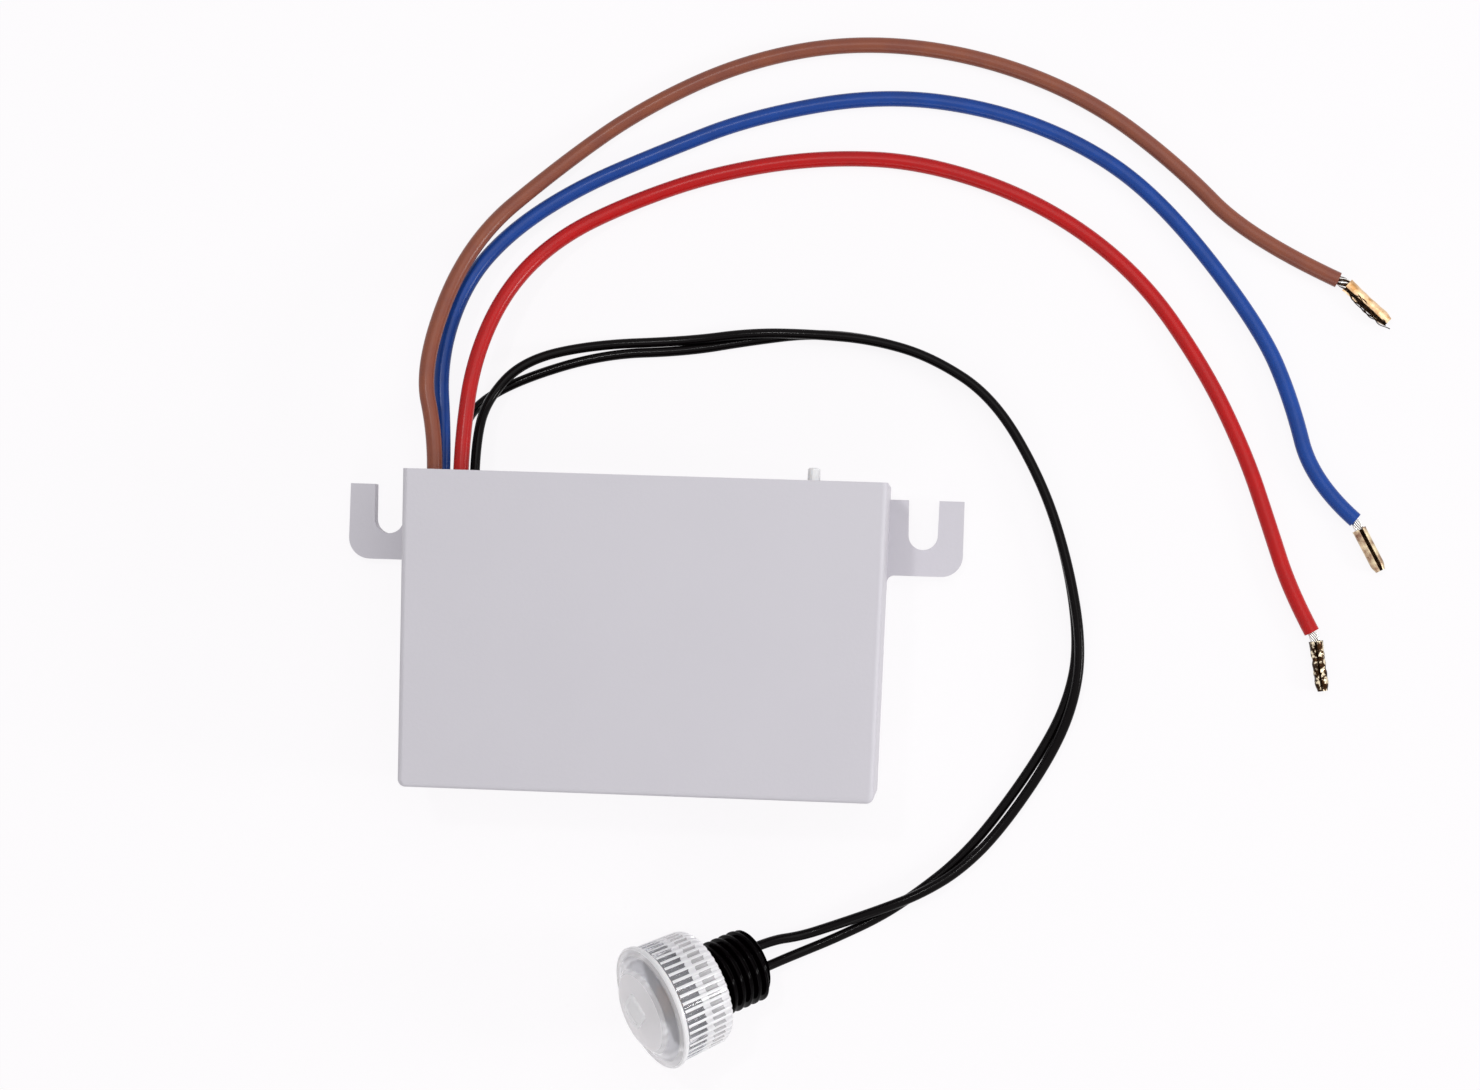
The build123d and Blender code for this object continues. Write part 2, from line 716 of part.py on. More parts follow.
with BuildPart() as rectifier_diodes:
    for place in range(4):
        add(lying_part(left_group_x + 10.1 + 3.6 * place, front_row_y, 2.6, 4.8, 10.0, 0.7, 90))
save("rectifier_diodes", rectifier_diodes.part)

with BuildPart() as smoothing_capacitor:
    add(post(right_group_x, rear_row_y + 1.0, board_top, 5.0, 12.4, sides=can_sides))
    add(post(right_group_x, rear_row_y + 1.0, board_top + 12.4, 4.6, 0.6, sides=can_sides))
save("smoothing_capacitor", smoothing_capacitor.part)

with BuildPart() as zener_diode:
    add(lying_part(right_group_x, rear_row_y + 10.0, 1.9, 4.0, 8.0, 0.5, 0))
save("zener_diode", zener_diode.part)

with BuildPart() as flyback_diode:
    add(lying_part(relay_x, relay_y + relay_width / 2 + 3.1, 2.6, 4.8, 10.0, 0.7, 0))
save("flyback_diode", flyback_diode.part)

with BuildPart() as transistor:
    with BuildSketch(Plane.XY.offset(board_top + 2.5)):
        with Locations((left_group_x + 11.5, rear_row_y + 6.5)):
            RegularPolygon(2.4, can_sides)
            with Locations((0, -1.5)):
                Rectangle(6.0, 6.0, align=(Align.CENTER, Align.MAX), mode=Mode.SUBTRACT)
    extrude(amount=4.6)
    for leg_x in (-1.27, 0, 1.27):
        add(post(left_group_x + 11.5 + leg_x, rear_row_y + 6.5, board_top, 0.25, 3.0))
save("transistor", transistor.part)

with BuildPart() as comparator:
    with Locations((relay_x + 5.5, front_row_y - 0.5, board_top + 0.5)):
        Box(9.8, 6.4, 3.4, align=centred_low)
    chamfer(comparator.edges().filter_by(Axis.X).sort_by(Axis.Z)[-2:], 0.4)
    with Locations((relay_x + 5.5, front_row_y - 0.5, board_top + 2.0)):
        with GridLocations(2.54, 0, 4, 1):
            Box(0.6, 8.05, 0.25, align=centred_low)
        with GridLocations(2.54, 7.8, 4, 2):
            Box(0.6, 0.25, 2.0, align=(Align.CENTER, Align.CENTER, Align.MAX))
save("comparator", comparator.part)

with BuildPart() as timing_capacitor:
    add(post(right_group_x - 1.5, front_row_y - 2.0, board_top, 2.5, 11.0, sides=can_sides))
save("timing_capacitor", timing_capacitor.part)

with BuildPart() as signal_resistors:
    for place in range(4):
        add(lying_part(right_group_x - 5.0 + 3.8 * place, front_row_y - 9.4, 1.8, 4.2, 7.6, 0.5, 90))
save("signal_resistors", signal_resistors.part)


def tail_points(exit_place, pad):
    """From the resin's face through the plate, across to the pad and down to the board."""
    x = left_x + exit_place[0]
    pad_x = left_x + pad[0]
    pad_y = board_front_y - pad[1]
    z = exit_place[1]
    return [(x, resin_face_y, z), (x, plate_back_y - 0.75, z), (pad_x, pad_y, z), (pad_x, pad_y, board_top)]


def tail(exit_place, pad, diameter, sides):
    """The hidden end of a lead inside the housing, folded over to its pad."""
    points = tail_points(exit_place, pad)
    with BuildPart() as piece:
        with BuildLine() as path:
            Polyline(*points)
        with BuildSketch(Plane(origin=points[0], x_dir=(0, 0, 1), z_dir=(0, -1, 0))):
            RegularPolygon(flat_sided(diameter), sides)
        sweep(path=path.line, transition=Transition.RIGHT)
    return piece.part


with BuildPart() as brown_tail:
    add(tail(brown_exit, brown_pad, mains_diameter, mains_sides))
save("brown_tail", brown_tail.part)

with BuildPart() as blue_tail:
    add(tail(blue_exit, blue_pad, mains_diameter, mains_sides))
save("blue_tail", blue_tail.part)

with BuildPart() as red_tail:
    add(tail(red_exit, red_pad, mains_diameter, mains_sides))
save("red_tail", red_tail.part)

with BuildPart() as sensor_tails:
    for exit_place, pad in ((under_exit, under_pad), (over_exit, over_pad)):
        add(tail(exit_place, pad, sensor_lead_diameter, sensor_sides))
save("sensor_tails", sensor_tails.part)

# Free leads
with BuildPart() as brown_lead:
    add(tube(brown_route, mains_diameter, bend_radii(brown_route), mains_sides))
save("brown_lead", brown_lead.part)

with BuildPart() as blue_lead:
    add(tube(blue_route, mains_diameter, bend_radii(blue_route), mains_sides))
save("blue_lead", blue_lead.part)

with BuildPart() as red_lead:
    add(tube(red_route, mains_diameter, bend_radii(red_route), mains_sides))
save("red_lead", red_lead.part)

with BuildPart() as under_lead:
    add(tube(under_route, sensor_lead_diameter, bend_radii(under_route), sensor_sides))
save("under_lead", under_lead.part)

with BuildPart() as over_lead:
    add(tube(over_route, sensor_lead_diameter, bend_radii(over_route), sensor_sides))
save("over_lead", over_lead.part)


def strand_corner(route):
    """Where the bare strands turn into the ferrule: straight on from the lead's end."""
    last = Vector(*route[-1])
    way = (last - Vector(*route[-2])).normalized()
    return last + way * strand_step


def strands(route, ferrule_end):
    """Bare strands from the end of the insulation to the end of the ferrule."""
    corner = strand_corner(route)
    points = [route[-1], tuple(corner), ferrule_end]
    return tube(points, strand_diameter, 1.2, sensor_sides)


def ferrule(route, ferrule_end):
    """A rolled sleeve with an open seam on top, around the strands."""
    corner = strand_corner(route)
    along = Vector(*ferrule_end) - corner
    start = corner + along.normalized() * ferrule_start
    outer = ferrule_diameter / 2
    with BuildPart() as piece:
        with BuildSketch(Plane(origin=start, x_dir=(0, 0, 1), z_dir=along)):
            RegularPolygon(outer, ferrule_sides)
            RegularPolygon(outer - ferrule_wall, ferrule_sides, mode=Mode.SUBTRACT)
            with Locations((outer, 0)):
                Rectangle(4 * ferrule_wall, ferrule_seam, mode=Mode.SUBTRACT)
        extrude(amount=along.length - ferrule_start)
    return piece.part


with BuildPart() as brown_strands:
    add(strands(brown_route, brown_ferrule_end))
save("brown_strands", brown_strands.part)

with BuildPart() as blue_strands:
    add(strands(blue_route, blue_ferrule_end))
save("blue_strands", blue_strands.part)

with BuildPart() as red_strands:
    add(strands(red_route, red_ferrule_end))
save("red_strands", red_strands.part)

with BuildPart() as brown_ferrule:
    add(ferrule(brown_route, brown_ferrule_end))
save("brown_ferrule", brown_ferrule.part)

with BuildPart() as blue_ferrule:
    add(ferrule(blue_route, blue_ferrule_end))
save("blue_ferrule", blue_ferrule.part)

with BuildPart() as red_ferrule:
    add(ferrule(red_route, red_ferrule_end))
save("red_ferrule", red_ferrule.part)

# Sensor head, each piece drawn upright about Z from the stem's free end, then set in place
stem_radius = thread_diameter / 2
stem_top = thread_length + stem_inner_length
holder_top = stem_top + holder_thickness
cell_bottom = stem_top + holder_web
cell_top = cell_bottom + cell_thickness
flange_start = thread_length + cap_length
flange_end = flange_start + flange_thickness
plateau_height = flange_end + plateau_rise
apex = flange_end + dome_rise
cap_inner_radius = cap_rear_radius - cap_wall
holder_radius = cap_inner_radius - curved_gap
tail_end = potting_recess + potting_depth

with BuildPart() as upright_stem:
    add(turned([
        (0, 0), (stem_radius - thread_chamfer, 0), (stem_radius, thread_chamfer),
        (stem_radius, thread_length), (0, thread_length),
    ]))
    add(post(0, 0, thread_length, stem_inner_radius, stem_inner_length, sides=stem_sides))
    add(post(0, 0, 0, stem_bore / 2, stem_top, sides=stem_sides), mode=Mode.SUBTRACT)

with BuildPart() as sensor_stem:
    add(upright_stem.part.moved(head_place))
save("sensor_stem", sensor_stem.part)

# The cap: draughted ribs that fade out at the rear, a flange, a dished shoulder and a dome
shoulder_middle = (
    0.4 * shoulder_radius + 0.6 * plateau_radius, flange_end + 0.3 * plateau_rise,
)
dome_rim = (plateau_radius, plateau_height)
dome_outer = dome_point(*dome_rim, apex, plateau_radius * 0.68)
dome_inner = dome_point(*dome_rim, apex, plateau_radius * 0.36)
dome_top = dome_point(*dome_rim, apex, dome_top_radius)
with BuildPart() as upright_cap:
    rib_start = thread_length + cap_rear_round
    add(step(cap_rear_radius - cap_rear_drop, thread_length, cap_rear_radius, rib_start))
    add(step(cap_rear_radius, rib_start, cap_front_radius, flange_start))
    add(ribbed_ring(cap_front_radius, flute_floor, thread_length))
    extrude(amount=cap_length, mode=Mode.INTERSECT)
    add(step(flange_radius, flange_start, flange_radius, flange_end))
    add(step(shoulder_radius, flange_end, *shoulder_middle))
    add(step(*shoulder_middle, *dome_rim))
    add(step(*dome_rim, *dome_outer))
    add(step(*dome_outer, *dome_inner))
    add(step(*dome_inner, *dome_top))
    hollow_end = flange_start - 0.2
    inner_rim = (plateau_radius - 0.7, plateau_height - front_wall)
    inner_top = (dome_inner[0], dome_inner[1] - front_wall)
    add(
        step(cap_inner_radius, thread_length - wall, cap_inner_radius, hollow_end),
        mode=Mode.SUBTRACT,
    )
    add(step(cap_inner_radius, hollow_end, *inner_rim), mode=Mode.SUBTRACT)
    add(step(*inner_rim, *inner_top), mode=Mode.SUBTRACT)

with BuildPart() as lens_cap:
    add(upright_cap.part.moved(head_place))
save("lens_cap", lens_cap.part)

with BuildPart() as seal_ring:
    seal = post(
        0, 0, thread_length + seal_start, holder_radius, seal_thickness,
        hole=stem_inner_radius + curved_gap, sides=stem_sides,
    )
    add(seal.moved(head_place))
save("seal_ring", seal_ring.part)

with BuildPart() as upright_holder:
    add(post(0, 0, stem_top, holder_radius, holder_thickness, sides=stem_sides))
    recess_radius = (cell_radius + curved_gap) / cos(pi / stem_sides)
    add(
        post(0, 0, cell_bottom, recess_radius, holder_top - cell_bottom, sides=stem_sides),
        mode=Mode.SUBTRACT,
    )
    for leg_x in (-cell_leg_spacing / 2, cell_leg_spacing / 2):
        add(
            post(leg_x, 0, stem_top, cell_leg_diameter / 2 + hole_gap, holder_thickness),
            mode=Mode.SUBTRACT,
        )

with BuildPart() as cell_holder:
    add(upright_holder.part.moved(head_place))
save("cell_holder", cell_holder.part)

with BuildPart() as upright_cell:
    with Locations((0, 0, cell_bottom)):
        Cylinder(cell_radius, cell_thickness, align=centred_low)
    for leg_x in (-cell_leg_spacing / 2, cell_leg_spacing / 2):
        add(post(leg_x, 0, tail_end, cell_leg_diameter / 2, cell_bottom - tail_end + 0.5))

with BuildPart() as photocell:
    add(upright_cell.part.moved(head_place))
save("photocell", photocell.part)

with BuildPart() as upright_potting:
    add(post(0, 0, potting_recess, stem_bore / 2 - curved_gap, potting_depth, sides=stem_sides))
    for offset in (under_offset, over_offset):
        hole_radius = flat_sided(sensor_lead_diameter, curved_gap)
        add(post(offset, 0, potting_recess, hole_radius, potting_depth), mode=Mode.SUBTRACT)

with BuildPart() as stem_potting:
    add(upright_potting.part.moved(head_place))
save("stem_potting", stem_potting.part)

with BuildPart() as upright_tails:
    for offset in (under_offset, over_offset):
        add(post(offset, 0, potting_recess, flat_sided(sensor_lead_diameter), potting_depth))

with BuildPart() as stem_tails:
    add(upright_tails.part.moved(head_place))
save("stem_tails", stem_tails.part)

# Readings for the record, and for judging each lead
print("spindle", spindle_x, spindle_z, "tip", spindle_tip_y)
print("armature hinge", hinge_x, relay_y, armature_z)
print("slot", slot_x, slot_end_y, "hook top", hook_top_y)
print("head origin", head_x, head_y, round(head_z, 4), "lens way", tuple(lens_way))
for name, route, diameter, sides, piece in (
    ("brown", brown_route, mains_diameter, mains_sides, brown_lead),
    ("blue", blue_route, mains_diameter, mains_sides, blue_lead),
    ("red", red_route, mains_diameter, mains_sides, red_lead),
    ("under", under_route, sensor_lead_diameter, sensor_sides, under_lead),
    ("over", over_route, sensor_lead_diameter, sensor_sides, over_lead),
):
    radii = bend_radii(route)
    section = sides / 2 * flat_sided(diameter) ** 2 * sin(2 * pi / sides)
    expected = path_length(route, radii) * section
    tightest = min(radii)
    print(
        name, "tightest bend", round(tightest, 1), "at corner", radii.index(tightest) + 1,
        "length", round(path_length(route, radii), 1),
        "volume ratio", round(piece.part.volume / expected, 4),
    )
    print("   ends", [round(v, 3) for v in route[-2]], [round(v, 3) for v in route[-1]])
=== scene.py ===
"""Twilight switch: a sealed grey relay box with loose leads and a screw-in light sensor.

The box lies on its flat back, with its lead side towards +Y. Sizes in the classes are in
millimetres, and Piece.build and Lead.build turn them into metres.
"""

import logging
import math
from collections.abc import Mapping
from dataclasses import dataclass
from enum import Enum
from types import MappingProxyType

import bmesh
import bpy
import numpy as np
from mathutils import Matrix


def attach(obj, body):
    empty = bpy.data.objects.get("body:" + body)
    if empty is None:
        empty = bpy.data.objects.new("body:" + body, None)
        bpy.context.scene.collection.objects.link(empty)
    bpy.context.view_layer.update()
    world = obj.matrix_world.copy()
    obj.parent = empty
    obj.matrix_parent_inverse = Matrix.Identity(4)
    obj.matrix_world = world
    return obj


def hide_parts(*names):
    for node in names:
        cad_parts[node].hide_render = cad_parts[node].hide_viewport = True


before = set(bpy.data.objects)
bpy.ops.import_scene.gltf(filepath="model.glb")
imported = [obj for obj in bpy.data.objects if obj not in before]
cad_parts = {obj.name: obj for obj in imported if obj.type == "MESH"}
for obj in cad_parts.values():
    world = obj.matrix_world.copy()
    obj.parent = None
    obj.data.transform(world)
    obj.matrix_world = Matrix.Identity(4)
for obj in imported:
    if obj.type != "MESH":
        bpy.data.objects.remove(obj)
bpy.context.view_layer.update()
log = logging.getLogger("twilight_switch")

Colour = Point = Row = tuple[float, float, float]
Socket = str | int
Values = Mapping[Socket, float | tuple[float, ...]]
MM = 0.001
WHITE = (1, 0.985, 1, 1)


class Body(Enum):
    """The bodies that the pieces built here ride."""

    CASE = "case"
    SPINDLE = "spindle"


def linear(colour: Colour) -> tuple[float, ...]:
    """Linear light from 0 to 1, and full cover, for a colour of screen values from 0 to 255.

    Args:
        colour: The three screen values.

    Returns:
        The three linear values and 1.
    """
    screen = np.array(colour) / 255
    low, high = screen / 12.92, ((screen + 0.055) / 1.055) ** 2.4
    return (*(float(v) for v in np.where(screen < 0.04045, low, high)), 1)


def into_scene(piece: bpy.types.Object) -> bpy.types.Object:
    """Links an object into the scene and gives it back."""
    bpy.context.scene.collection.objects.link(piece)
    return piece


# Shader nodes, and the effects that several finishes share


def new_material(name: str) -> tuple[bpy.types.Material, bpy.types.NodeTree, bpy.types.Node]:
    """A new material whose surface is one shader.

    Args:
        name: The material's name.

    Returns:
        The material, its node tree and its shader.
    """
    made = bpy.data.materials.new(name)
    made.use_nodes = True
    return made, made.node_tree, made.node_tree.nodes["Principled BSDF"]


class Effect(Enum):
    """The shared effects: each value is its node group's name."""

    GRAIN = "Surface grain"
    DRIFT = "Tone drift"


def set_values(node: bpy.types.Node, values: Values) -> None:
    """Sets the inputs of a node that are named."""
    for socket, value in values.items():
        node.inputs[socket].default_value = value


def add_node(tree: bpy.types.NodeTree, kind: str, values: Values = MappingProxyType({})) -> bpy.types.Node:
    """A new shader node.

    Args:
        tree: The node tree that it goes into.
        kind: The node's kind, less the words that every kind starts with.
        values: Value for each input that isn't left as it is.

    Returns:
        The node.
    """
    node = tree.nodes.new(f"ShaderNode{kind}")
    set_values(node, values)
    return node


def add_math(tree: bpy.types.NodeTree, operation: str, second: float = 0.0) -> bpy.types.Node:
    """A new node that does sums.

    Args:
        tree: The node tree that it goes into.
        operation: The sum that it does.
        second: Its second number, unless a socket gives that.

    Returns:
        The node.
    """
    node = add_node(tree, "Math", {1: second})
    node.operation = operation
    return node


def connect(tree: bpy.types.NodeTree, *joins: tuple[bpy.types.Node, Socket, bpy.types.Node, Socket]) -> None:
    """Links sockets: each join is a node and its output, then a node and its input."""
    for source, output, target, entry in joins:
        tree.links.new(source.outputs[output], target.inputs[entry])


def new_group(effect: Effect, inputs: dict[str, str], outputs: dict[str, str]) -> bpy.types.ShaderNodeTree:
    """An empty node group with named sockets.

    Args:
        effect: The effect that the group makes.
        inputs: Kind of value for each input's name.
        outputs: Kind of value for each output's name.

    Returns:
        The group, with its two end nodes in place.
    """
    tree = bpy.data.node_groups.new(effect.value, "ShaderNodeTree")
    for names, way in ((inputs, "INPUT"), (outputs, "OUTPUT")):
        for name, kind in names.items():
            tree.interface.new_socket(name, in_out=way, socket_type=f"NodeSocket{kind}")
    tree.nodes.new("NodeGroupInput")
    tree.nodes.new("NodeGroupOutput")
    return tree


def grain_group() -> bpy.types.ShaderNodeTree:
    """Height of a moulded surface: coarse waves plus fine grain, both from noise.

    Returns:
        The group, which puts out Height.
    """
    wave_share = 0.08
    tree = new_group(
        Effect.GRAIN, {"Position": "Vector", "Scale": "Float", "Waves": "Float"}, {"Height": "Float"},
    )
    start, end = tree.nodes["Group Input"], tree.nodes["Group Output"]
    fine = add_node(tree, "TexNoise", {"Detail": 3})
    coarse = add_node(tree, "TexNoise", {"Detail": 1})
    slower = add_math(tree, "MULTIPLY", wave_share)
    total = add_math(tree, "MULTIPLY_ADD")
    connect(
        tree,
        (start, "Position", fine, "Vector"), (start, "Position", coarse, "Vector"),
        (start, "Scale", fine, "Scale"), (start, "Scale", slower, 0), (slower, 0, coarse, "Scale"),
        (coarse, "Fac", total, 0), (start, "Waves", total, 1), (fine, "Fac", total, 2),
        (total, 0, end, "Height"),
    )
    return tree


def drift_group() -> bpy.types.ShaderNodeTree:
    """A colour that drifts between two tones over the surface, by noise from Low to High.

    Returns:
        The group, which puts out Colour and the Mask between the tones.
    """
    tree = new_group(
        Effect.DRIFT,
        {
            "Position": "Vector", "Scale": "Float", "Low": "Float", "High": "Float",
            "Tone": "Color", "Other Tone": "Color",
        },
        {"Colour": "Color", "Mask": "Float"},
    )
    start, end = tree.nodes["Group Input"], tree.nodes["Group Output"]
    noise = add_node(tree, "TexNoise", {"Detail": 4})
    ramp = add_node(tree, "MapRange")
    mix = add_node(tree, "Mix")
    mix.data_type = "RGBA"
    # A colour mix has its two colours at inputs 6 and 7, and its result at output 2
    connect(
        tree,
        (start, "Position", noise, "Vector"), (start, "Scale", noise, "Scale"),
        (noise, "Fac", ramp, "Value"), (start, "Low", ramp, "From Min"), (start, "High", ramp, "From Max"),
        (ramp, "Result", mix, "Factor"), (start, "Tone", mix, 6), (start, "Other Tone", mix, 7),
        (mix, 2, end, "Colour"), (ramp, "Result", end, "Mask"),
    )
    return tree


@dataclass(frozen=True)
class Finish:
    """One finish of the switch: plain surface values, with grain and tone drift if given.

    Colours are screen values from 0 to 255, scales count pattern cells per metre, and depths
    are in metres.
    """

    name: str
    colour: Colour
    roughness: float
    metallic: float = 0.0
    transmission: float = 0.0
    ior: float = 1.5
    specular: float = 0.5
    subsurface: float = 0.0
    subsurface_radius: Row = (1.0, 0.95, 0.9)
    subsurface_scale: float = 0.0012
    coat: float = 0.0
    other_colour: Colour | None = None
    drift_scale: float = 120.0
    drift_middle: float = 0.5
    drift_width: float = 0.3
    grain_depth: float = 0.0
    grain_scale: float = 2500.0
    grain_waves: float = 0.0

    @staticmethod
    def place_effect(tree: bpy.types.NodeTree, effect: Effect, values: Values) -> bpy.types.Node:
        """A shared effect in a material, on the piece's own coordinates.

        Args:
            tree: The material's node tree.
            effect: The effect.
            values: Value for each of its inputs but Position.

        Returns:
            The effect's node.
        """
        node = add_node(tree, "Group")
        node.node_tree = bpy.data.node_groups[effect.value]
        set_values(node, values)
        connect(tree, (add_node(tree, "TexCoord"), "Object", node, "Position"))
        return node

    def material(self) -> bpy.types.Material:
        """The finish as a material, made once.

        Returns:
            The material that carries the finish's name.
        """
        found = bpy.data.materials.get(self.name)
        if found:
            return found
        made, tree, shader = new_material(self.name)
        set_values(shader, {
            "Base Color": linear(self.colour), "Roughness": self.roughness, "Metallic": self.metallic,
            "Transmission Weight": self.transmission, "IOR": self.ior,
            "Specular IOR Level": self.specular, "Subsurface Weight": self.subsurface,
            "Coat Weight": self.coat,
        })
        if self.subsurface:
            set_values(shader, {
                "Subsurface Radius": self.subsurface_radius, "Subsurface Scale": self.subsurface_scale,
            })
        if self.other_colour:
            drift = self.place_effect(tree, Effect.DRIFT, {
                "Scale": self.drift_scale, "Low": self.drift_middle - self.drift_width / 2,
                "High": self.drift_middle + self.drift_width / 2,
                "Tone": linear(self.colour), "Other Tone": linear(self.other_colour),
            })
            connect(tree, (drift, "Colour", shader, "Base Color"))
        if self.grain_depth:
            grain = self.place_effect(
                tree, Effect.GRAIN, {"Scale": self.grain_scale, "Waves": self.grain_waves},
            )
            bump = add_node(tree, "Bump", {"Distance": self.grain_depth})
            connect(tree, (grain, "Height", bump, "Height"), (bump, "Normal", shader, "Normal"))
        return made


def mains_finish(name: str, colour: Colour, other_colour: Colour) -> Finish:
    """A mains lead's satin insulation, which drifts between two near colours."""
    return Finish(
        name, colour, 0.28, specular=0.2, other_colour=other_colour, drift_scale=300, grain_depth=0.000005,
    )


GREY_CASE = Finish(
    "grey case", (206, 203, 210), 0.42, specular=0.2, other_colour=(205, 202, 209),
    drift_scale=60, grain_depth=0.00002, grain_scale=1800, grain_waves=2.0,
)
GREY_PLATE = Finish("grey plate", (168, 168, 172), 0.5, grain_depth=0.00002)
POURED_RESIN = Finish(
    "poured resin", (52, 52, 56), 0.25, other_colour=(44, 44, 48), coat=0.2,
    grain_depth=0.00006, grain_scale=350, grain_waves=3.0,
)
WHITE_SPINDLE = Finish("white spindle", (246, 245, 247), 0.35, subsurface=0.6)
BROWN_LEAD = mains_finish("brown lead", (141, 80, 60), (132, 75, 61))
BLUE_LEAD = mains_finish("blue lead", (25, 69, 151), (27, 65, 141))
RED_LEAD = mains_finish("red lead", (187, 22, 23), (178, 26, 27))
BLACK_LEAD = Finish("black lead", (9, 6, 7), 0.16, specular=0.08, grain_depth=0.00001)
BLACK_STEM = Finish("black stem", (3, 1, 2), 0.1, specular=0.04, grain_depth=0.00001)
BLACK_POTTING = Finish("black potting", (26, 26, 28), 0.3, grain_depth=0.00004, grain_scale=900)
GOLD_BRASS = Finish(
    "golden brass", (232, 202, 164), 0.48, metallic=1.0, other_colour=(190, 144, 92),
    drift_scale=620, drift_middle=0.6, drift_width=0.2, grain_depth=0.00006, grain_scale=2200,
    grain_waves=1.0,
)
PALE_BRASS = Finish(
    "pale brass", (232, 216, 180), 0.42, metallic=1.0, other_colour=(142, 110, 90),
    drift_scale=420, drift_width=0.2, grain_depth=0.00004, grain_scale=2600, grain_waves=1.0,
)
DARK_BRASS = Finish(
    "darkened brass", (50, 32, 18), 0.3, metallic=1.0, other_colour=(244, 228, 196),
    drift_scale=1500, drift_middle=0.56, drift_width=0.1, grain_depth=0.00016, grain_scale=1400,
    grain_waves=1.0,
)
TINNED_STRAND = Finish("tinned strand", (226, 224, 220), 0.22, metallic=1.0)
# Strands' dark finish: their own darkened colour on the frayed and loose strands, and painted shade on the
# strands inside the sleeve
DARKENED_AND_SHADED_STRAND = Finish(
    "darkened and shade painted strand", (58, 40, 26), 0.35, metallic=1.0, other_colour=(20, 12, 8),
    drift_scale=1200,
)
CLEAR_CAP = Finish("clear cap", (240, 241, 244), 0.12, transmission=0.9, ior=1.1, coat=0.6)
DISH_CAP = Finish("clear dish", (236, 235, 238), 0.3, transmission=0.8, ior=1.12, coat=0.6)
HALF_CLEAR_CAP = Finish("half clear cap", (246, 244, 246), 0.14, transmission=0.5, ior=1.15, coat=0.6)
MILKY_CAP = Finish("milky cap", (250, 249, 251), 0.3, transmission=0.2, ior=1.2, coat=0.5)
FROSTED_CAP = Finish(
    "frosted cap", (248, 245, 247), 0.45, transmission=0.32, ior=1.15, coat=0.4,
    grain_depth=0.00003, grain_scale=3000, grain_waves=1.0,
)
WHITE_HOLDER = Finish("white holder", (248, 248, 250), 0.4)
# Painted shade: the white holder's face and rim take this dark grey so that the cap's windows look dark
HOLDER_PAINTED_SHADE = Finish("holder face painted shade", (112, 111, 116), 0.4)
GREY_SEAL = Finish("grey seal", (196, 196, 200), 0.5, grain_depth=0.00003)
CELL_FACE = Finish("cell face", (70, 70, 66), 0.3, other_colour=(160, 112, 78), drift_scale=1500)
BOARD = Finish("board laminate", (112, 96, 52), 0.45, other_colour=(104, 90, 46))
COPPER = Finish("copper wire", (190, 110, 70), 0.3, metallic=1.0)
STEEL = Finish("plated steel", (176, 176, 178), 0.35, metallic=1.0)
BLUE_BOX = Finish("blue box", (36, 92, 168), 0.4)
WHITE_BOBBIN = Finish("white bobbin", (228, 228, 222), 0.5)
YELLOW_BOX = Finish("yellow box", (222, 190, 70), 0.45)
TAN_CERAMIC = Finish("tan ceramic", (196, 160, 112), 0.55)
BLACK_BODY = Finish("black body", (34, 34, 36), 0.4)
RED_DISC = Finish("red disc", (176, 52, 44), 0.4)
CAN_SLEEVE = Finish("can sleeve", (40, 48, 78), 0.3)

# CAD nodes inside the sealed box keep their own mesh
INNER_NODES: dict[Finish, tuple[str, ...]] = {
    GREY_PLATE: ("end_plate",),
    BOARD: ("board",),
    BLUE_BOX: ("trimmer_body", "relay_cover"),
    BLACK_BODY: (
        "relay_base", "rectifier_diodes", "zener_diode", "flyback_diode", "transistor", "comparator",
    ),
    STEEL: ("relay_yoke", "relay_core", "relay_armature"),
    WHITE_BOBBIN: ("relay_bobbin",),
    COPPER: ("relay_winding", "relay_contacts"),
    YELLOW_BOX: ("film_capacitor",),
    RED_DISC: ("varistor",),
    TAN_CERAMIC: ("surge_resistor", "bleed_resistor", "signal_resistors"),
    CAN_SLEEVE: ("smoothing_capacitor", "timing_capacitor"),
    BROWN_LEAD: ("brown_tail",),
    BLUE_LEAD: ("blue_tail",),
    RED_LEAD: ("red_tail",),
    BLACK_LEAD: ("sensor_tails", "stem_tails"),
    BLACK_POTTING: ("stem_potting",),
}


# Meshes from grids of points


@dataclass
class Patch:
    """A sheet of four-sided faces on a grid of points, in millimetres."""

    points: np.ndarray
    quads: np.ndarray
    slot: np.ndarray


def grid_patch(
    points: np.ndarray, close_rows: bool = False, close_columns: bool = False, slot: int | np.ndarray = 0,
) -> Patch:
    """Faces over a grid: each joins a point to the next in its row and in its column.

    Args:
        points: Array of rows by columns by 3.
        close_rows: Whether the last row joins the first.
        close_columns: Whether the last column joins the first.
        slot: The finish of every face, or a number for each row of faces, or for each face.

    Returns:
        The patch, whose points are numbered row by row.
    """
    rows, columns = points.shape[:2]
    numbers = np.arange(rows * columns).reshape(rows, columns)
    if close_rows:
        numbers = np.vstack([numbers, numbers[:1]])
    if close_columns:
        numbers = np.hstack([numbers, numbers[:, :1]])
    quads = np.stack([numbers[:-1, :-1], numbers[:-1, 1:], numbers[1:, 1:], numbers[1:, :-1]], axis=-1)
    slots = np.asarray(slot)
    if slots.ndim < 2:
        slots = slots.reshape(-1, 1)
    slots = np.broadcast_to(slots, quads.shape[:2])
    return Patch(points.reshape(-1, 3), quads.reshape(-1, 4), slots.ravel())


def end_ring(line: np.ndarray) -> Patch:
    """Faces across the end of a rolled sheet: each outer point joins the inner point behind it.

    Args:
        line: The sheet's points at that end, the outer ones and then the inner ones back.

    Returns:
        The patch that closes the sheet's end.
    """
    half = len(line) // 2
    return grid_patch(np.stack([line[:half], line[half:][::-1]]))


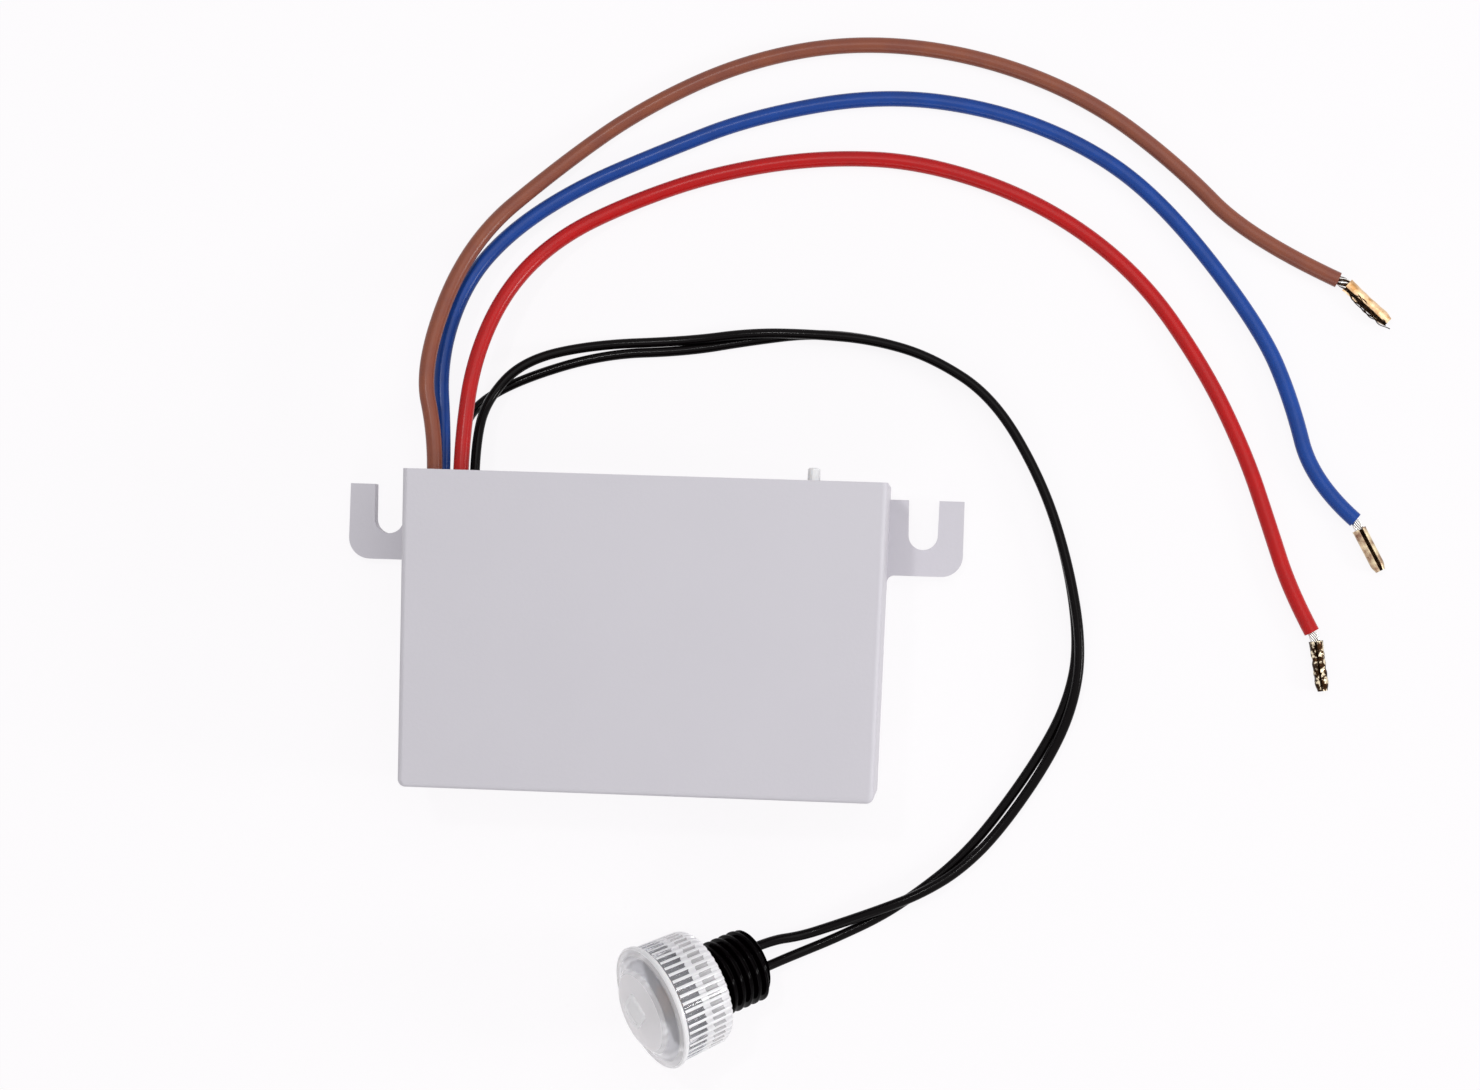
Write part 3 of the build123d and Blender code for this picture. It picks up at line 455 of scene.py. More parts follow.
@dataclass(frozen=True)
class Piece:
    """One piece of the switch: its name, finishes, the CAD nodes it stands for and its slot.

    Edges whose faces turn by sharp degrees or more stay sharp, and each patch's slot numbers
    pick one of the finishes.
    """

    name: str
    finishes: tuple[Finish, ...]
    node: str
    slot_name: str
    sharp: float = 35.0
    body: Body = Body.CASE
    merge_reach: float = 2e-7
    smallest_edge: float = 1e-8

    def build(self, patches: list[Patch]) -> bpy.types.Object:
        """The piece from its patches: doubles merged and faces turned outwards.

        Args:
            patches: The sheets that make up the piece.

        Returns:
            The new object, at the origin.
        """
        starts = np.cumsum([0] + [len(p.points) for p in patches[:-1]])
        points = np.vstack([p.points for p in patches]) * MM
        quads = np.vstack([p.quads + start for p, start in zip(patches, starts)])
        slots = np.concatenate([p.slot for p in patches])
        mesh = bpy.data.meshes.new(self.name)
        mesh.vertices.add(len(points))
        mesh.vertices.foreach_set("co", points.astype(np.float32).ravel())
        mesh.loops.add(quads.size)
        mesh.loops.foreach_set("vertex_index", quads.astype(np.int32).ravel())
        mesh.polygons.add(len(quads))
        mesh.polygons.foreach_set("loop_start", np.arange(0, quads.size, 4, dtype=np.int32))
        mesh.polygons.foreach_set("material_index", slots.astype(np.int32))
        mesh.update(calc_edges=True)
        work = bmesh.new()
        work.from_mesh(mesh)
        bmesh.ops.remove_doubles(work, verts=work.verts, dist=self.merge_reach)
        bmesh.ops.dissolve_degenerate(work, edges=work.edges, dist=self.smallest_edge)
        bmesh.ops.recalc_face_normals(work, faces=work.faces)
        work.to_mesh(mesh)
        work.free()
        return self.dress(mesh)

    def dress(self, mesh: bpy.types.Mesh) -> bpy.types.Object:
        """Puts a finished mesh into the scene with the piece's finishes, body and CAD node.

        Args:
            mesh: The finished mesh, in metres.

        Returns:
            The new object.
        """
        mesh.polygons.foreach_set("use_smooth", np.ones(len(mesh.polygons), dtype=bool))
        mesh.set_sharp_from_angle(angle=math.radians(self.sharp))
        if len(mesh.materials):
            mesh.materials.clear()
        for finish in self.finishes:
            mesh.materials.append(finish.material())
        piece = into_scene(bpy.data.objects.new(self.name, mesh))
        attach(piece, self.body.value)
        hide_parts(self.node)
        return piece

    def from_cad(self, round_width: float, segments: int, least_turn: float = 30.0) -> bpy.types.Object:
        """The piece as its CAD node's own shape, with its sharp edges rounded.

        Args:
            round_width: Width of the round, in millimetres.
            segments: Number of faces across it.
            least_turn: Angle in degrees from which an edge is rounded.

        Returns:
            The new object.
        """
        piece = self.dress(merged_copy(self.node))
        bevel = piece.modifiers.new("edge round", "BEVEL")
        bevel.width = round_width * MM
        bevel.segments = segments
        bevel.limit_method = "ANGLE"
        bevel.angle_limit = math.radians(least_turn)
        bevel.harden_normals = True
        return piece


def merged_copy(node: str, merge_reach: float = 2e-6, flat_degrees: float = 0.5) -> bpy.types.Mesh:
    """A copy of a CAD node's mesh with its loose triangles joined at their corners.

    Args:
        node: The CAD node's name.
        merge_reach: Distance in metres within which corners are one.
        flat_degrees: Angle up to which neighbouring faces are joined.

    Returns:
        The new mesh, in the node's own place.
    """
    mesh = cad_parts[node].data.copy()
    work = bmesh.new()
    work.from_mesh(mesh)
    bmesh.ops.remove_doubles(work, verts=work.verts, dist=merge_reach)
    bmesh.ops.dissolve_limit(
        work, angle_limit=math.radians(flat_degrees), verts=work.verts, edges=work.edges, delimit={"NORMAL"},
    )
    work.to_mesh(mesh)
    work.free()
    return mesh


@dataclass(frozen=True)
class Placing:
    """A place with its three directions: a point is origin plus each coordinate along its way."""

    origin: np.ndarray
    ways: np.ndarray

    def put(self, local: np.ndarray) -> np.ndarray:
        """Points in the switch's frame for points in this place's own directions."""
        return self.origin + local @ self.ways


def unit(way: np.ndarray) -> np.ndarray:
    """Vectors of length one along the last axis: each divided by the root of its squares' sum."""
    return way / np.linalg.norm(way, axis=-1, keepdims=True)


def eased(share: np.ndarray) -> np.ndarray:
    """A soft step from 0 to 1: the share held between them, squared, times three less twice it."""
    share = np.clip(share, 0, 1)
    return share * share * (3 - 2 * share)


def swing(angle: np.ndarray) -> np.ndarray:
    """A wave between 0 and 1: half plus half the cosine."""
    return 0.5 + 0.5 * np.cos(angle)


def round_turn(count: int) -> np.ndarray:
    """Angles of a full turn, in even steps from zero."""
    return np.linspace(0, 2 * np.pi, count, endpoint=False)


def polar(radius: np.ndarray, turn: np.ndarray, height: np.ndarray) -> np.ndarray:
    """Points round Z: x is radius times cosine, y is radius times sine, z is height."""
    return np.stack([radius * np.cos(turn), radius * np.sin(turn), np.broadcast_to(height, radius.shape)], -1)


def turned(profile: np.ndarray, columns: int, radius_factor: np.ndarray | float = 1.0) -> np.ndarray:
    """A profile turned about Z, as polar gives its points.

    Args:
        profile: Rows of radius and height.
        columns: Number of steps round the axis.
        radius_factor: A factor on the radius for each row and column, or one for all.

    Returns:
        Array of rows by columns by 3.
    """
    radius = np.repeat(profile[:, :1], columns, axis=1) * radius_factor
    return polar(radius, round_turn(columns), profile[:, 1:])


def rounded(corners: list[Row] | tuple[Row, ...], steps: int = 5) -> np.ndarray:
    """A line through corners with each one rounded by a curve that leaves and meets its runs.

    Each corner is the middle point of a parabola whose ends lie one setback away along
    the two runs: (1-t)^2 times the first end, 2t(1-t) times the corner, t^2 times the last.

    Args:
        corners: Rows of radius, height and setback.
        steps: Points on each rounded corner.

    Returns:
        Rows of radius and height.
    """
    table = np.array(corners, dtype=float)
    points, setback = table[:, :2], table[:, 2:]
    corner = points[1:-1]
    first = corner + unit(points[:-2] - corner) * setback[1:-1]
    last = corner + unit(points[2:] - corner) * setback[1:-1]
    share = np.linspace(0, 1, steps)[None, :, None]
    curve = (
        (1 - share) ** 2 * first[:, None] + 2 * share * (1 - share) * corner[:, None]
        + share ** 2 * last[:, None]
    )
    return np.vstack([points[:1], curve.reshape(-1, 2), points[-1:]])


# The studio


@dataclass(frozen=True)
class Studio:
    """Pale floor, soft light and the camera at the photograph's angle. Sizes are in metres.

    A lamp has its name, place, width and power in watts.
    """

    camera_place: Point = (0.0488, 0.0074, 0.5157)
    camera_turn: Point = (0.944, 3.871, 1.875)
    lens: float = 77.96
    sensor_width: float = 36.0
    nearest_seen: float = 0.01
    world_strength: float = 0.4
    lamps: tuple[tuple[str, Point, float, float], ...] = (
        ("soft lamp", (0.28, 0.35, 0.9), 0.8, 3.05),
        ("small lamp", (-0.12, 0.22, 0.75), 0.05, 0.9),
        ("fill lamp", (-0.1, -0.6, 0.35), 0.3, 0.7),
        ("side lamp", (0.85, -0.05, 0.35), 0.2, 2.9),
    )
    lamps_aim: Point = (0.04, 0.01, 0.0)
    floor_reach: float = 6.0
    floor_colour: tuple[float, ...] = (0.9, 0.89, 0.9, 1)
    floor_roughness: float = 0.9
    floor_glow: float = 0.9

    def camera(self) -> None:
        """The camera, set level with the photograph's frame."""
        data = bpy.data.cameras.new("camera")
        data.lens = self.lens
        data.sensor_width = self.sensor_width
        data.sensor_fit = "HORIZONTAL"
        data.clip_start = self.nearest_seen
        camera = into_scene(bpy.data.objects.new("camera", data))
        camera.location = self.camera_place
        camera.rotation_euler = [math.radians(v) for v in self.camera_turn]
        bpy.context.scene.camera = camera

    @staticmethod
    def seen_directly(tree: bpy.types.NodeTree) -> bpy.types.Node:
        """A mask that is 1 for rays from the camera, through clear plastic or off a glossy piece.

        Args:
            tree: The node tree that needs the mask.

        Returns:
            The node whose first output carries it.
        """
        path = add_node(tree, "LightPath")
        clear = add_math(tree, "MAXIMUM")
        glossy = add_math(tree, "MAXIMUM")
        connect(
            tree,
            (path, "Is Camera Ray", clear, 0), (path, "Is Transmission Ray", clear, 1),
            (clear, 0, glossy, 0), (path, "Is Glossy Ray", glossy, 1),
        )
        return glossy

    def world(self) -> None:
        """Even light from all round, and plain white where it is seen itself."""
        world = bpy.data.worlds.new("soft room")
        world.use_nodes = True
        tree = world.node_tree
        light = tree.nodes["Background"]
        set_values(light, {"Color": (1, 1, 1, 1), "Strength": self.world_strength})
        white = add_node(tree, "Background", {"Color": WHITE})
        mix = add_node(tree, "MixShader")
        connect(
            tree,
            (self.seen_directly(tree), 0, mix, "Fac"), (light, 0, mix, 1), (white, 0, mix, 2),
            (mix, 0, tree.nodes["World Output"], "Surface"),
        )
        bpy.context.scene.world = world

    def lamp(self, name: str, place: Point, size: float, power: float) -> None:
        """A square lamp that looks at the middle of the switch.

        Its turn about X is the angle of its aim from straight down, and its turn about Z
        brings that tilt round to the aim.

        Args:
            name: The lamp's name.
            place: Where it hangs, in metres.
            size: Its width, in metres.
            power: Its power, in watts.
        """
        data = bpy.data.lights.new(name, "AREA")
        data.energy = power
        data.shape = "SQUARE"
        data.size = size
        lamp = into_scene(bpy.data.objects.new(name, data))
        lamp.location = place
        across, along, down = np.array(self.lamps_aim) - np.array(place)
        tilt = math.atan2(math.hypot(across, along), -down)
        lamp.rotation_euler = (tilt, 0, math.atan2(along, across) - math.pi / 2)

    def floor(self) -> None:
        """A wide pale floor that keeps a faint shadow of the switch."""
        mesh = bpy.data.meshes.new("floor")
        side = self.floor_reach
        corners = [(-side, -side, 0), (side, -side, 0), (side, side, 0), (-side, side, 0)]
        mesh.from_pydata(corners, [], [(0, 1, 2, 3)])
        floor = into_scene(bpy.data.objects.new("floor", mesh))
        made, tree, shader = new_material("pale floor")
        set_values(shader, {
            "Base Color": self.floor_colour, "Roughness": self.floor_roughness, "Specular IOR Level": 0.0,
        })
        glow = add_node(tree, "Emission", {"Color": WHITE})
        share = add_math(tree, "MULTIPLY", self.floor_glow)
        mix = add_node(tree, "MixShader")
        connect(
            tree,
            (self.seen_directly(tree), 0, share, 0), (share, 0, mix, "Fac"),
            (shader, 0, mix, 1), (glow, 0, mix, 2), (mix, 0, tree.nodes["Material Output"], "Surface"),
        )
        mesh.materials.append(made)

    def build(self) -> None:
        """The whole studio."""
        bpy.context.scene.view_settings.view_transform = "Standard"
        self.camera()
        self.world()
        for lamp in self.lamps:
            self.lamp(*lamp)
        self.floor()
        log.info("studio ready")


# Leads


class FarEnd(Enum):
    """What a lead ends in."""

    FERRULE = "connector"
    SENSOR = "object"


class Crimp(Enum):
    """How a ferrule was pressed: each value is the depth of its flats, then of its teeth."""

    FRAYED = (0.1, 0.07)
    SMOOTH = (0.06, 0.0)
    CRUMPLED = (0.12, 0.2)


@dataclass(frozen=True)
class Ferrule:
    """A brass sleeve rolled round the bare strands, open along a seam.

    The seam is twice seam_half wide. seam_turn is its angle in degrees from the top,
    clockwise as seen from the insulation. Twist is in radians per millimetre, and each ring
    of strands has its share of the bundle's radius and its count.
    """

    lead: str
    corner: Point
    end: Point
    crimp: Crimp
    finish: Finish
    seam_half: float = 0.18
    seam_turn: float = 0.0
    outer: float = 1.1
    wall: float = 0.25
    start: float = 0.3
    mouth_flare: float = 0.05
    end_pinch: float = 0.3
    sleeve_steps: tuple[int, int] = (60, 72)
    rings: tuple[tuple[float, int], ...] = ((0.0, 1), (0.5, 6), (1.0, 12))
    bundle_radius: float = 0.55
    strand_radius: float = 0.1275
    twist: float = 0.55
    strand_steps: tuple[int, int] = (70, 8)
    loose_strands: int = 0
    loose_radius: float = 0.08
    loose_steps: int = 24
    spreads: tuple[float, ...] = (0.0, 0.37, 0.74, 0.19, 0.56, 0.91, 0.28, 0.65)

    def reach(self) -> float:
        """Length of the run from the corner to the sleeve's end."""
        return float(np.linalg.norm(np.subtract(self.end, self.corner)))

    def placing(self) -> Placing:
        """The sleeve's place: x towards the seam, y across it, z along.

        Returns:
            The place, whose origin is the corner.
        """
        along = unit(np.subtract(self.end, self.corner))
        up = np.array([0.0, 0.0, 1.0])
        turn = math.radians(self.seam_turn)
        seam = up * math.cos(turn) + np.cross(along, up) * math.sin(turn)
        return Placing(np.array(self.corner), np.stack([seam, np.cross(along, seam), along]))

    def dent(self, turn: np.ndarray, share: np.ndarray) -> np.ndarray:
        """How far the sleeve is pressed in: waves along it times waves round it.

        The press is full in the sleeve's middle and dies away at both ends, as the exponent
        of minus the fourth power of the distance from the middle.

        Args:
            turn: Angle round the sleeve from its seam.
            share: Place along the sleeve from 0 to 1.

        Returns:
            The depth in millimetres.
        """
        flat_depth, tooth_depth = self.crimp.value
        press = flat_depth * swing(2 * turn)
        if self.crimp is Crimp.FRAYED:
            press = press + tooth_depth * swing(share * 26) * swing(turn * 3 + 1)
        elif self.crimp is Crimp.CRUMPLED:
            teeth = swing(share * 34 + 1.6 * np.sin(turn * 2))
            crumple = 0.5 + 0.5 * np.sin(turn * 5 + share * 19)
            press = press + tooth_depth * teeth * (0.35 + 0.65 * crumple)
        return press * np.exp(-(((share - 0.5) / 0.3) ** 4))

    def sleeve(self, length: float) -> np.ndarray:
        """The rolled sheet: radius less the dent, at each angle from seam to seam.

        Its mouth flares and its far end is pinched, each by a bell curve along the sleeve.

        Args:
            length: The sleeve's length.

        Returns:
            Array of rows along the sleeve by points round it, out and back, by 3.
        """
        rows, points = self.sleeve_steps
        edge = self.seam_half / self.outer
        turn = np.linspace(edge, 2 * np.pi - edge, points)
        share = np.linspace(0, 1, rows)[:, None]
        flare = self.mouth_flare * np.exp(-((share / 0.04) ** 2))
        pinch = self.end_pinch * np.exp(-(((1 - share) / 0.09) ** 2))
        outer = self.outer - self.dent(turn[None, :], share) + flare - pinch
        out, back = (polar(radius, turn, share * length) for radius in (outer, outer - self.wall))
        return np.concatenate([out, back[:, ::-1]], axis=1)

    def build_sleeve(self) -> bpy.types.Object:
        """The sleeve as a piece, its two ends closed.

        Returns:
            The new object.
        """
        local = self.sleeve(self.reach() - self.start) + np.array([0, 0, self.start])
        points = self.placing().put(local)
        patches = [grid_patch(points, close_columns=True), end_ring(points[0]), end_ring(points[-1])]
        name = f"{self.lead}_ferrule"
        return Piece(f"{name}_sleeve", (self.finish,), name, "brass", sharp=50).build(patches)

    def build_strands(self, lead_end: Point) -> bpy.types.Object:
        """The twisted bare strands from the insulation's end to the sleeve's end.

        The bundle's line bends at the corner by a parabola. Each strand runs on a circle
        round the line and turns as it goes along: its place is the line's point plus the
        circle's radius times the turned direction. The bundle swells before the sleeve.
        Inside the sleeve the strands take the dark finish as painted shade.

        Args:
            lead_end: Where the insulation ends.

        Returns:
            The bundle as one piece.
        """
        frayed = self.crimp is Crimp.FRAYED
        start, corner, end = (np.array(p, dtype=float) for p in (lead_end, self.corner, self.end))
        first = np.linalg.norm(corner - start)
        way = unit(end - corner)
        along = np.linspace(0, first + self.reach(), self.strand_steps[0])[:, None]
        bend = np.clip(along / (2 * first), 0, 1)
        line = np.where(
            along < 2 * first,
            (1 - bend) ** 2 * start + 2 * bend * (1 - bend) * corner + bend ** 2 * (corner + way * first),
            corner + way * (along - first),
        )
        tangent = unit(np.gradient(line, axis=0))
        side = unit(np.cross(tangent, [0, 0, 1]))
        rise = np.cross(side, tangent)
        # Strands inside the sleeve take the dark finish as painted shade. The frayed bundle's odd strands
        # keep it all along as their own darkened colour
        inside = (along[:-1, 0] > first + self.start).astype(int)
        swell = 1 + (0.35 if frayed else 0.15) * np.exp(-(((along - first * 0.8) / 0.9) ** 2))
        patches = []
        for share, count in self.rings:
            for place in range(count):
                turn = 2 * np.pi * (place / count) + along * self.twist
                radius = share * self.bundle_radius * swell
                middle = line + radius * (np.cos(turn) * side + np.sin(turn) * rise)
                dark = np.ones_like(inside) if frayed and place % 2 else inside
                patches += self.wire(middle, side, rise, self.strand_radius, dark)
        for place in range(self.loose_strands):
            patches += self.loose_wire(place)
        piece = Piece(
            f"{self.lead}_bare_strands", (TINNED_STRAND, DARKENED_AND_SHADED_STRAND), f"{self.lead}_strands",
            "tinned_wire", sharp=60,
        )
        return piece.build(patches)

    def wire(
        self, middle: np.ndarray, side: np.ndarray, rise: np.ndarray, radius: float, slot: np.ndarray,
    ) -> list[Patch]:
        """One round strand: each ring is the line's point plus the turned radius, ends closed.

        Args:
            middle: Points of the strand's line.
            side, rise: Two directions across the line, at each point.
            radius: The strand's radius.
            slot: The finish number of each row of faces.

        Returns:
            The strand's tube and its two ends.
        """
        count = self.strand_steps[1]
        circle = round_turn(count)[None, :, None]
        points = middle[:, None] + radius * (np.cos(circle) * side[:, None] + np.sin(circle) * rise[:, None])
        patches = [grid_patch(points, close_columns=True, slot=slot)]
        for row in (0, -1):
            end = np.stack([points[row], np.repeat(middle[row][None], count, 0)])
            patches.append(grid_patch(end, close_columns=True, slot=int(slot[row])))
        return patches

    def loose_wire(self, place: int) -> list[Patch]:
        """A stray strand that bows out of the seam: its lift is a half sine along it, plus a small wave.

        Args:
            place: The strand's number, which sets its start, length, angle and bow.

        Returns:
            The strand's patches.
        """
        count = self.loose_steps
        spread = self.spreads[place % len(self.spreads)]
        share = np.linspace(0, 1, count)
        run = self.reach() * (0.12 * (place % 4)) + share * self.reach() * (0.55 + 0.3 * spread)
        bow = (0.42 + 0.34 * spread) * np.sin(share * np.pi * (0.75 + 0.3 * spread))
        lift = 0.62 + bow + 0.08 * np.sin(share * 17 + 2 * place)
        angle = (spread - 0.5) * 1.3 + 0.3 * np.sin(share * (6 + 5 * spread) + place)
        here = self.placing()
        side, rise = (np.repeat(here.ways[row][None], count, 0) for row in (0, 1))
        return self.wire(
            here.put(polar(lift, angle, run)), side, rise, self.loose_radius, np.ones(count - 1, dtype=int),
        )


@dataclass(frozen=True)
class Lead:
    """A free lead: a smooth line that follows its route's points, as thick as its insulation.

    exit is the lead's place on the resin: its distance from the box's left side, and its height.
    """

    name: str
    exit: tuple[float, float]
    route: tuple[Point, ...]
    diameter: float
    length: float
    finish: Finish
    slot_name: str
    far_end: FarEnd
    ferrule: Ferrule | None = None
    face_y: float = 23.85
    first_run: float = 6.2
    left_x: float = -37.7
    line_steps: int = 24
    ring_steps: int = 6

    def build(self) -> bpy.types.Object:
        """The lead's curve, with its ferrule and strands if it has them.

        Returns:
            The curve object.
        """
        x, z = self.left_x + self.exit[0], self.exit[1]
        points = [(x, self.face_y, z), (x, self.face_y + self.first_run, z), *self.route]
        data = bpy.data.curves.new(f"{self.name}_line", "CURVE")
        data.dimensions = "3D"
        data.resolution_u = self.line_steps
        data.bevel_depth = self.diameter / 2 * MM
        data.bevel_resolution = self.ring_steps
        data.use_fill_caps = True
        spline = data.splines.new("NURBS")
        spline.points.add(len(points) - 1)
        homogeneous = np.column_stack([np.array(points) * MM, np.ones(len(points))])
        spline.points.foreach_set("co", homogeneous.ravel())
        spline.order_u = 3
        spline.use_endpoint_u = True
        spline.resolution_u = self.line_steps
        data.materials.append(self.finish.material())
        piece = into_scene(bpy.data.objects.new(f"{self.name}_insulation", data))
        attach(piece, Body.CASE.value)
        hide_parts(f"{self.name}_lead")
        with_pieces = []
        if self.ferrule:
            with_pieces = [self.ferrule.build_strands(self.route[-1]), self.ferrule.build_sleeve()]
        log.info("%s lead of %.1f mm", self.name, self.length)
        return piece


def ferrule_corner(route: tuple[Point, ...], step: float = 1.3) -> Point:
    """Where the strands turn into the sleeve: one step straight on from the route's end."""
    last, before = np.array(route[-1]), np.array(route[-2])
    return tuple(float(v) for v in last + unit(last - before) * step)


def lying(height: float, *places: tuple[float, float]) -> tuple[Point, ...]:
    """Points of a route that lies on the floor, all at one height."""
    return tuple((x, y, height) for x, y in places)


MAINS_DIAMETER = 2.5
SENSOR_DIAMETER = 1.6
MAINS_LIES = 1.3
SENSOR_LIES = 0.85

BROWN_ROUTE = (
    (-37.1, 41.5, 12.9), (-31.1, 61.8, 7.0), (-17.4, 75.0, 2.0),
    *lying(
        MAINS_LIES,
        (-4.4, 84.8), (12.0, 92.8), (30.0, 96.4), (49.3, 94.6), (67.4, 88.0), (81.7, 77.7), (93.4, 66.2),
        (107.7, 59.9),
    ),
)
BLUE_ROUTE = (
    (-34.9, 43.0, 8.2), (-31.6, 55.3, 5.9), (-25.0, 64.0, 3.4), (-14.5, 71.6, 1.5),
    *lying(
        MAINS_LIES,
        (-1.2, 77.7), (13.7, 83.9), (34.1, 87.9), (52.9, 85.9), (69.7, 79.2), (81.9, 69.2), (95.8, 51.7),
        (100.9, 40.6), (104.5, 27.7), (111.5, 21.8),
    ),
)
RED_ROUTE = (
    (-28.9, 43.0, 11.3), (-24.5, 54.8, 7.4), (-16.8, 63.4, 3.9), (-5.5, 69.6, 1.5),
    *lying(
        MAINS_LIES,
        (8.4, 74.7), (25.0, 77.6), (41.7, 77.2), (60.4, 71.1), (76.1, 60.1), (87.1, 45.1), (94.0, 31.5),
        (98.0, 20.4), (101.6, 10.2), (105.2, 3.8),
    ),
)
UNDER_ROUTE = (
    (-30.3, 35.5, 2.4), (-23.5, 40.2, 0.9),
    *lying(
        SENSOR_LIES,
        (-9.5, 44.9), (4.0, 45.7), (14.3, 47.7), (24.3, 49.2), (34.0, 48.5), (43.5, 45.9), (53.6, 39.8),
        (61.6, 26.9), (66.2, 14.2), (68.5, 0.5), (67.0, -8.6), (62.8, -17.4), (55.4, -28.6), (49.8, -35.1),
        (44.2, -39.8), (38.4, -44.0), (31.0, -47.8), (26.4, -49.9),
    ),
    (22.118, -51.694, 2.619), (18.181, -53.389, 5.195),
)
OVER_ROUTE = (
    (-27.6, 36.8, 4.4), (-22.2, 43.3, 3.0), (-11.5, 46.35, 0.9), (4.2, 47.35, 1.0),
    (14.7, 48.9, 2.3), (24.3, 48.9, 2.8), (34.0, 48.3, 2.8), (43.5, 45.8, 2.8),
    (53.6, 39.6, 2.8), (61.6, 26.8, 2.8), (66.2, 14.1, 2.8), (68.9, 0.5, 2.75),
    (67.9, -9.2, 2.5), (64.1, -18.4, 1.7), (56.7, -29.8, 1.6), (50.7, -36.1, 2.2),
    (44.4, -40.1, 2.8), (37.9, -42.9, 2.45), (30.4, -45.9, 1.0), (25.4, -47.7, 0.9),
    (20.694, -48.388, 2.619), (16.757, -50.083, 5.195),
)

LEADS = (
    Lead(
        "brown", (3.5, 13.5), BROWN_ROUTE, MAINS_DIAMETER, 199.3, BROWN_LEAD, "brown_insulation",
        FarEnd.FERRULE,
        Ferrule(
            "brown", ferrule_corner(BROWN_ROUTE), (115.7, 53.4, MAINS_LIES), Crimp.FRAYED, GOLD_BRASS,
            seam_half=0.68, seam_turn=60.0, loose_strands=12,
        ),
    ),
    Lead(
        "blue", (4.1, 9.4), BLUE_ROUTE, MAINS_DIAMETER, 216.4, BLUE_LEAD, "blue_insulation",
        FarEnd.FERRULE,
        Ferrule(
            "blue", (112.0, 20.6, MAINS_LIES), (115.7, 13.9, MAINS_LIES), Crimp.SMOOTH, PALE_BRASS,
            seam_half=0.34, seam_turn=-8.0,
        ),
    ),
    Lead(
        "red", (7.7, 13.5), RED_ROUTE, MAINS_DIAMETER, 207.8, RED_LEAD, "red_insulation",
        FarEnd.FERRULE,
        Ferrule(
            "red", ferrule_corner(RED_ROUTE), (107.2, -5.5, MAINS_LIES), Crimp.CRUMPLED, DARK_BRASS,
            seam_half=0.2, seam_turn=10.0,
        ),
    ),
    Lead(
        "under", (6.5, 7.6), UNDER_ROUTE, SENSOR_DIAMETER, 222.6, BLACK_LEAD, "black_insulation",
        FarEnd.SENSOR,
    ),
    Lead(
        "over", (9.1, 8.2), OVER_ROUTE, SENSOR_DIAMETER, 221.1, BLACK_LEAD, "black_insulation",
        FarEnd.SENSOR,
    ),
)


# The box


@dataclass(frozen=True)
class Housing:
    """The moulded box with its two hooks, the poured resin and the trimmer's spindle."""

    front_round: float = 0.3
    edge_round: float = 0.18
    front_height: float = 23.0
    height_slack: float = 0.05
    resin_round: float = 0.05
    spindle_round: float = 0.08
    sharp: float = 28.0

    def weigh_edges(self, shell: bpy.types.Object) -> None:
        """Gives the sharp edges round the front face the full round, and the other sharp edges less.

        Args:
            shell: The housing, whose bevel follows the weights.
        """
        mesh = shell.data
        ends = np.empty(len(mesh.edges) * 2, dtype=np.int32)
        places = np.empty(len(mesh.vertices) * 3, dtype=np.float32)
        sharp = np.zeros(len(mesh.edges), dtype=bool)
        mesh.edges.foreach_get("vertices", ends)
        mesh.vertices.foreach_get("co", places)
        mesh.attributes["sharp_edge"].data.foreach_get("value", sharp)
        height = places.reshape(-1, 3)[ends.reshape(-1, 2), 2]
        front = (height > (self.front_height - self.height_slack) * MM).all(axis=1)
        weight = np.where(front, 1.0, self.edge_round / self.front_round) * sharp
        layer = mesh.attributes.new("bevel_weight_edge", "FLOAT", "EDGE")
        layer.data.foreach_set("value", weight.astype(np.float32))
        shell.modifiers["edge round"].limit_method = "WEIGHT"

    def build(self) -> None:
        """Every piece of the box that shows."""
        shell = Piece("housing_shell", (GREY_CASE,), "housing", "grey_plastic", self.sharp)
        self.weigh_edges(shell.from_cad(self.front_round, 3))
        fill = Piece("resin_fill", (POURED_RESIN,), "resin", "resin", self.sharp)
        fill.from_cad(self.resin_round, 2)
        spindle = Piece(
            "spindle_shaft", (WHITE_SPINDLE,), "trimmer_spindle", "white_plastic", self.sharp, Body.SPINDLE,
        )
        spindle.from_cad(self.spindle_round, 2)
        log.info("housing, resin and spindle ready")


@dataclass(frozen=True)
class InnerParts:
    """The circuit inside the box, which keeps its CAD meshes."""

    def build(self) -> None:
        """Gives each inner node its finish."""
        for finish, names in INNER_NODES.items():
            for name in names:
                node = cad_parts[name]
                node.data.materials.clear()
                node.data.materials.append(finish.material())
        log.info("%d inner nodes finished", sum(len(n) for n in INNER_NODES.values()))


# The sensor head


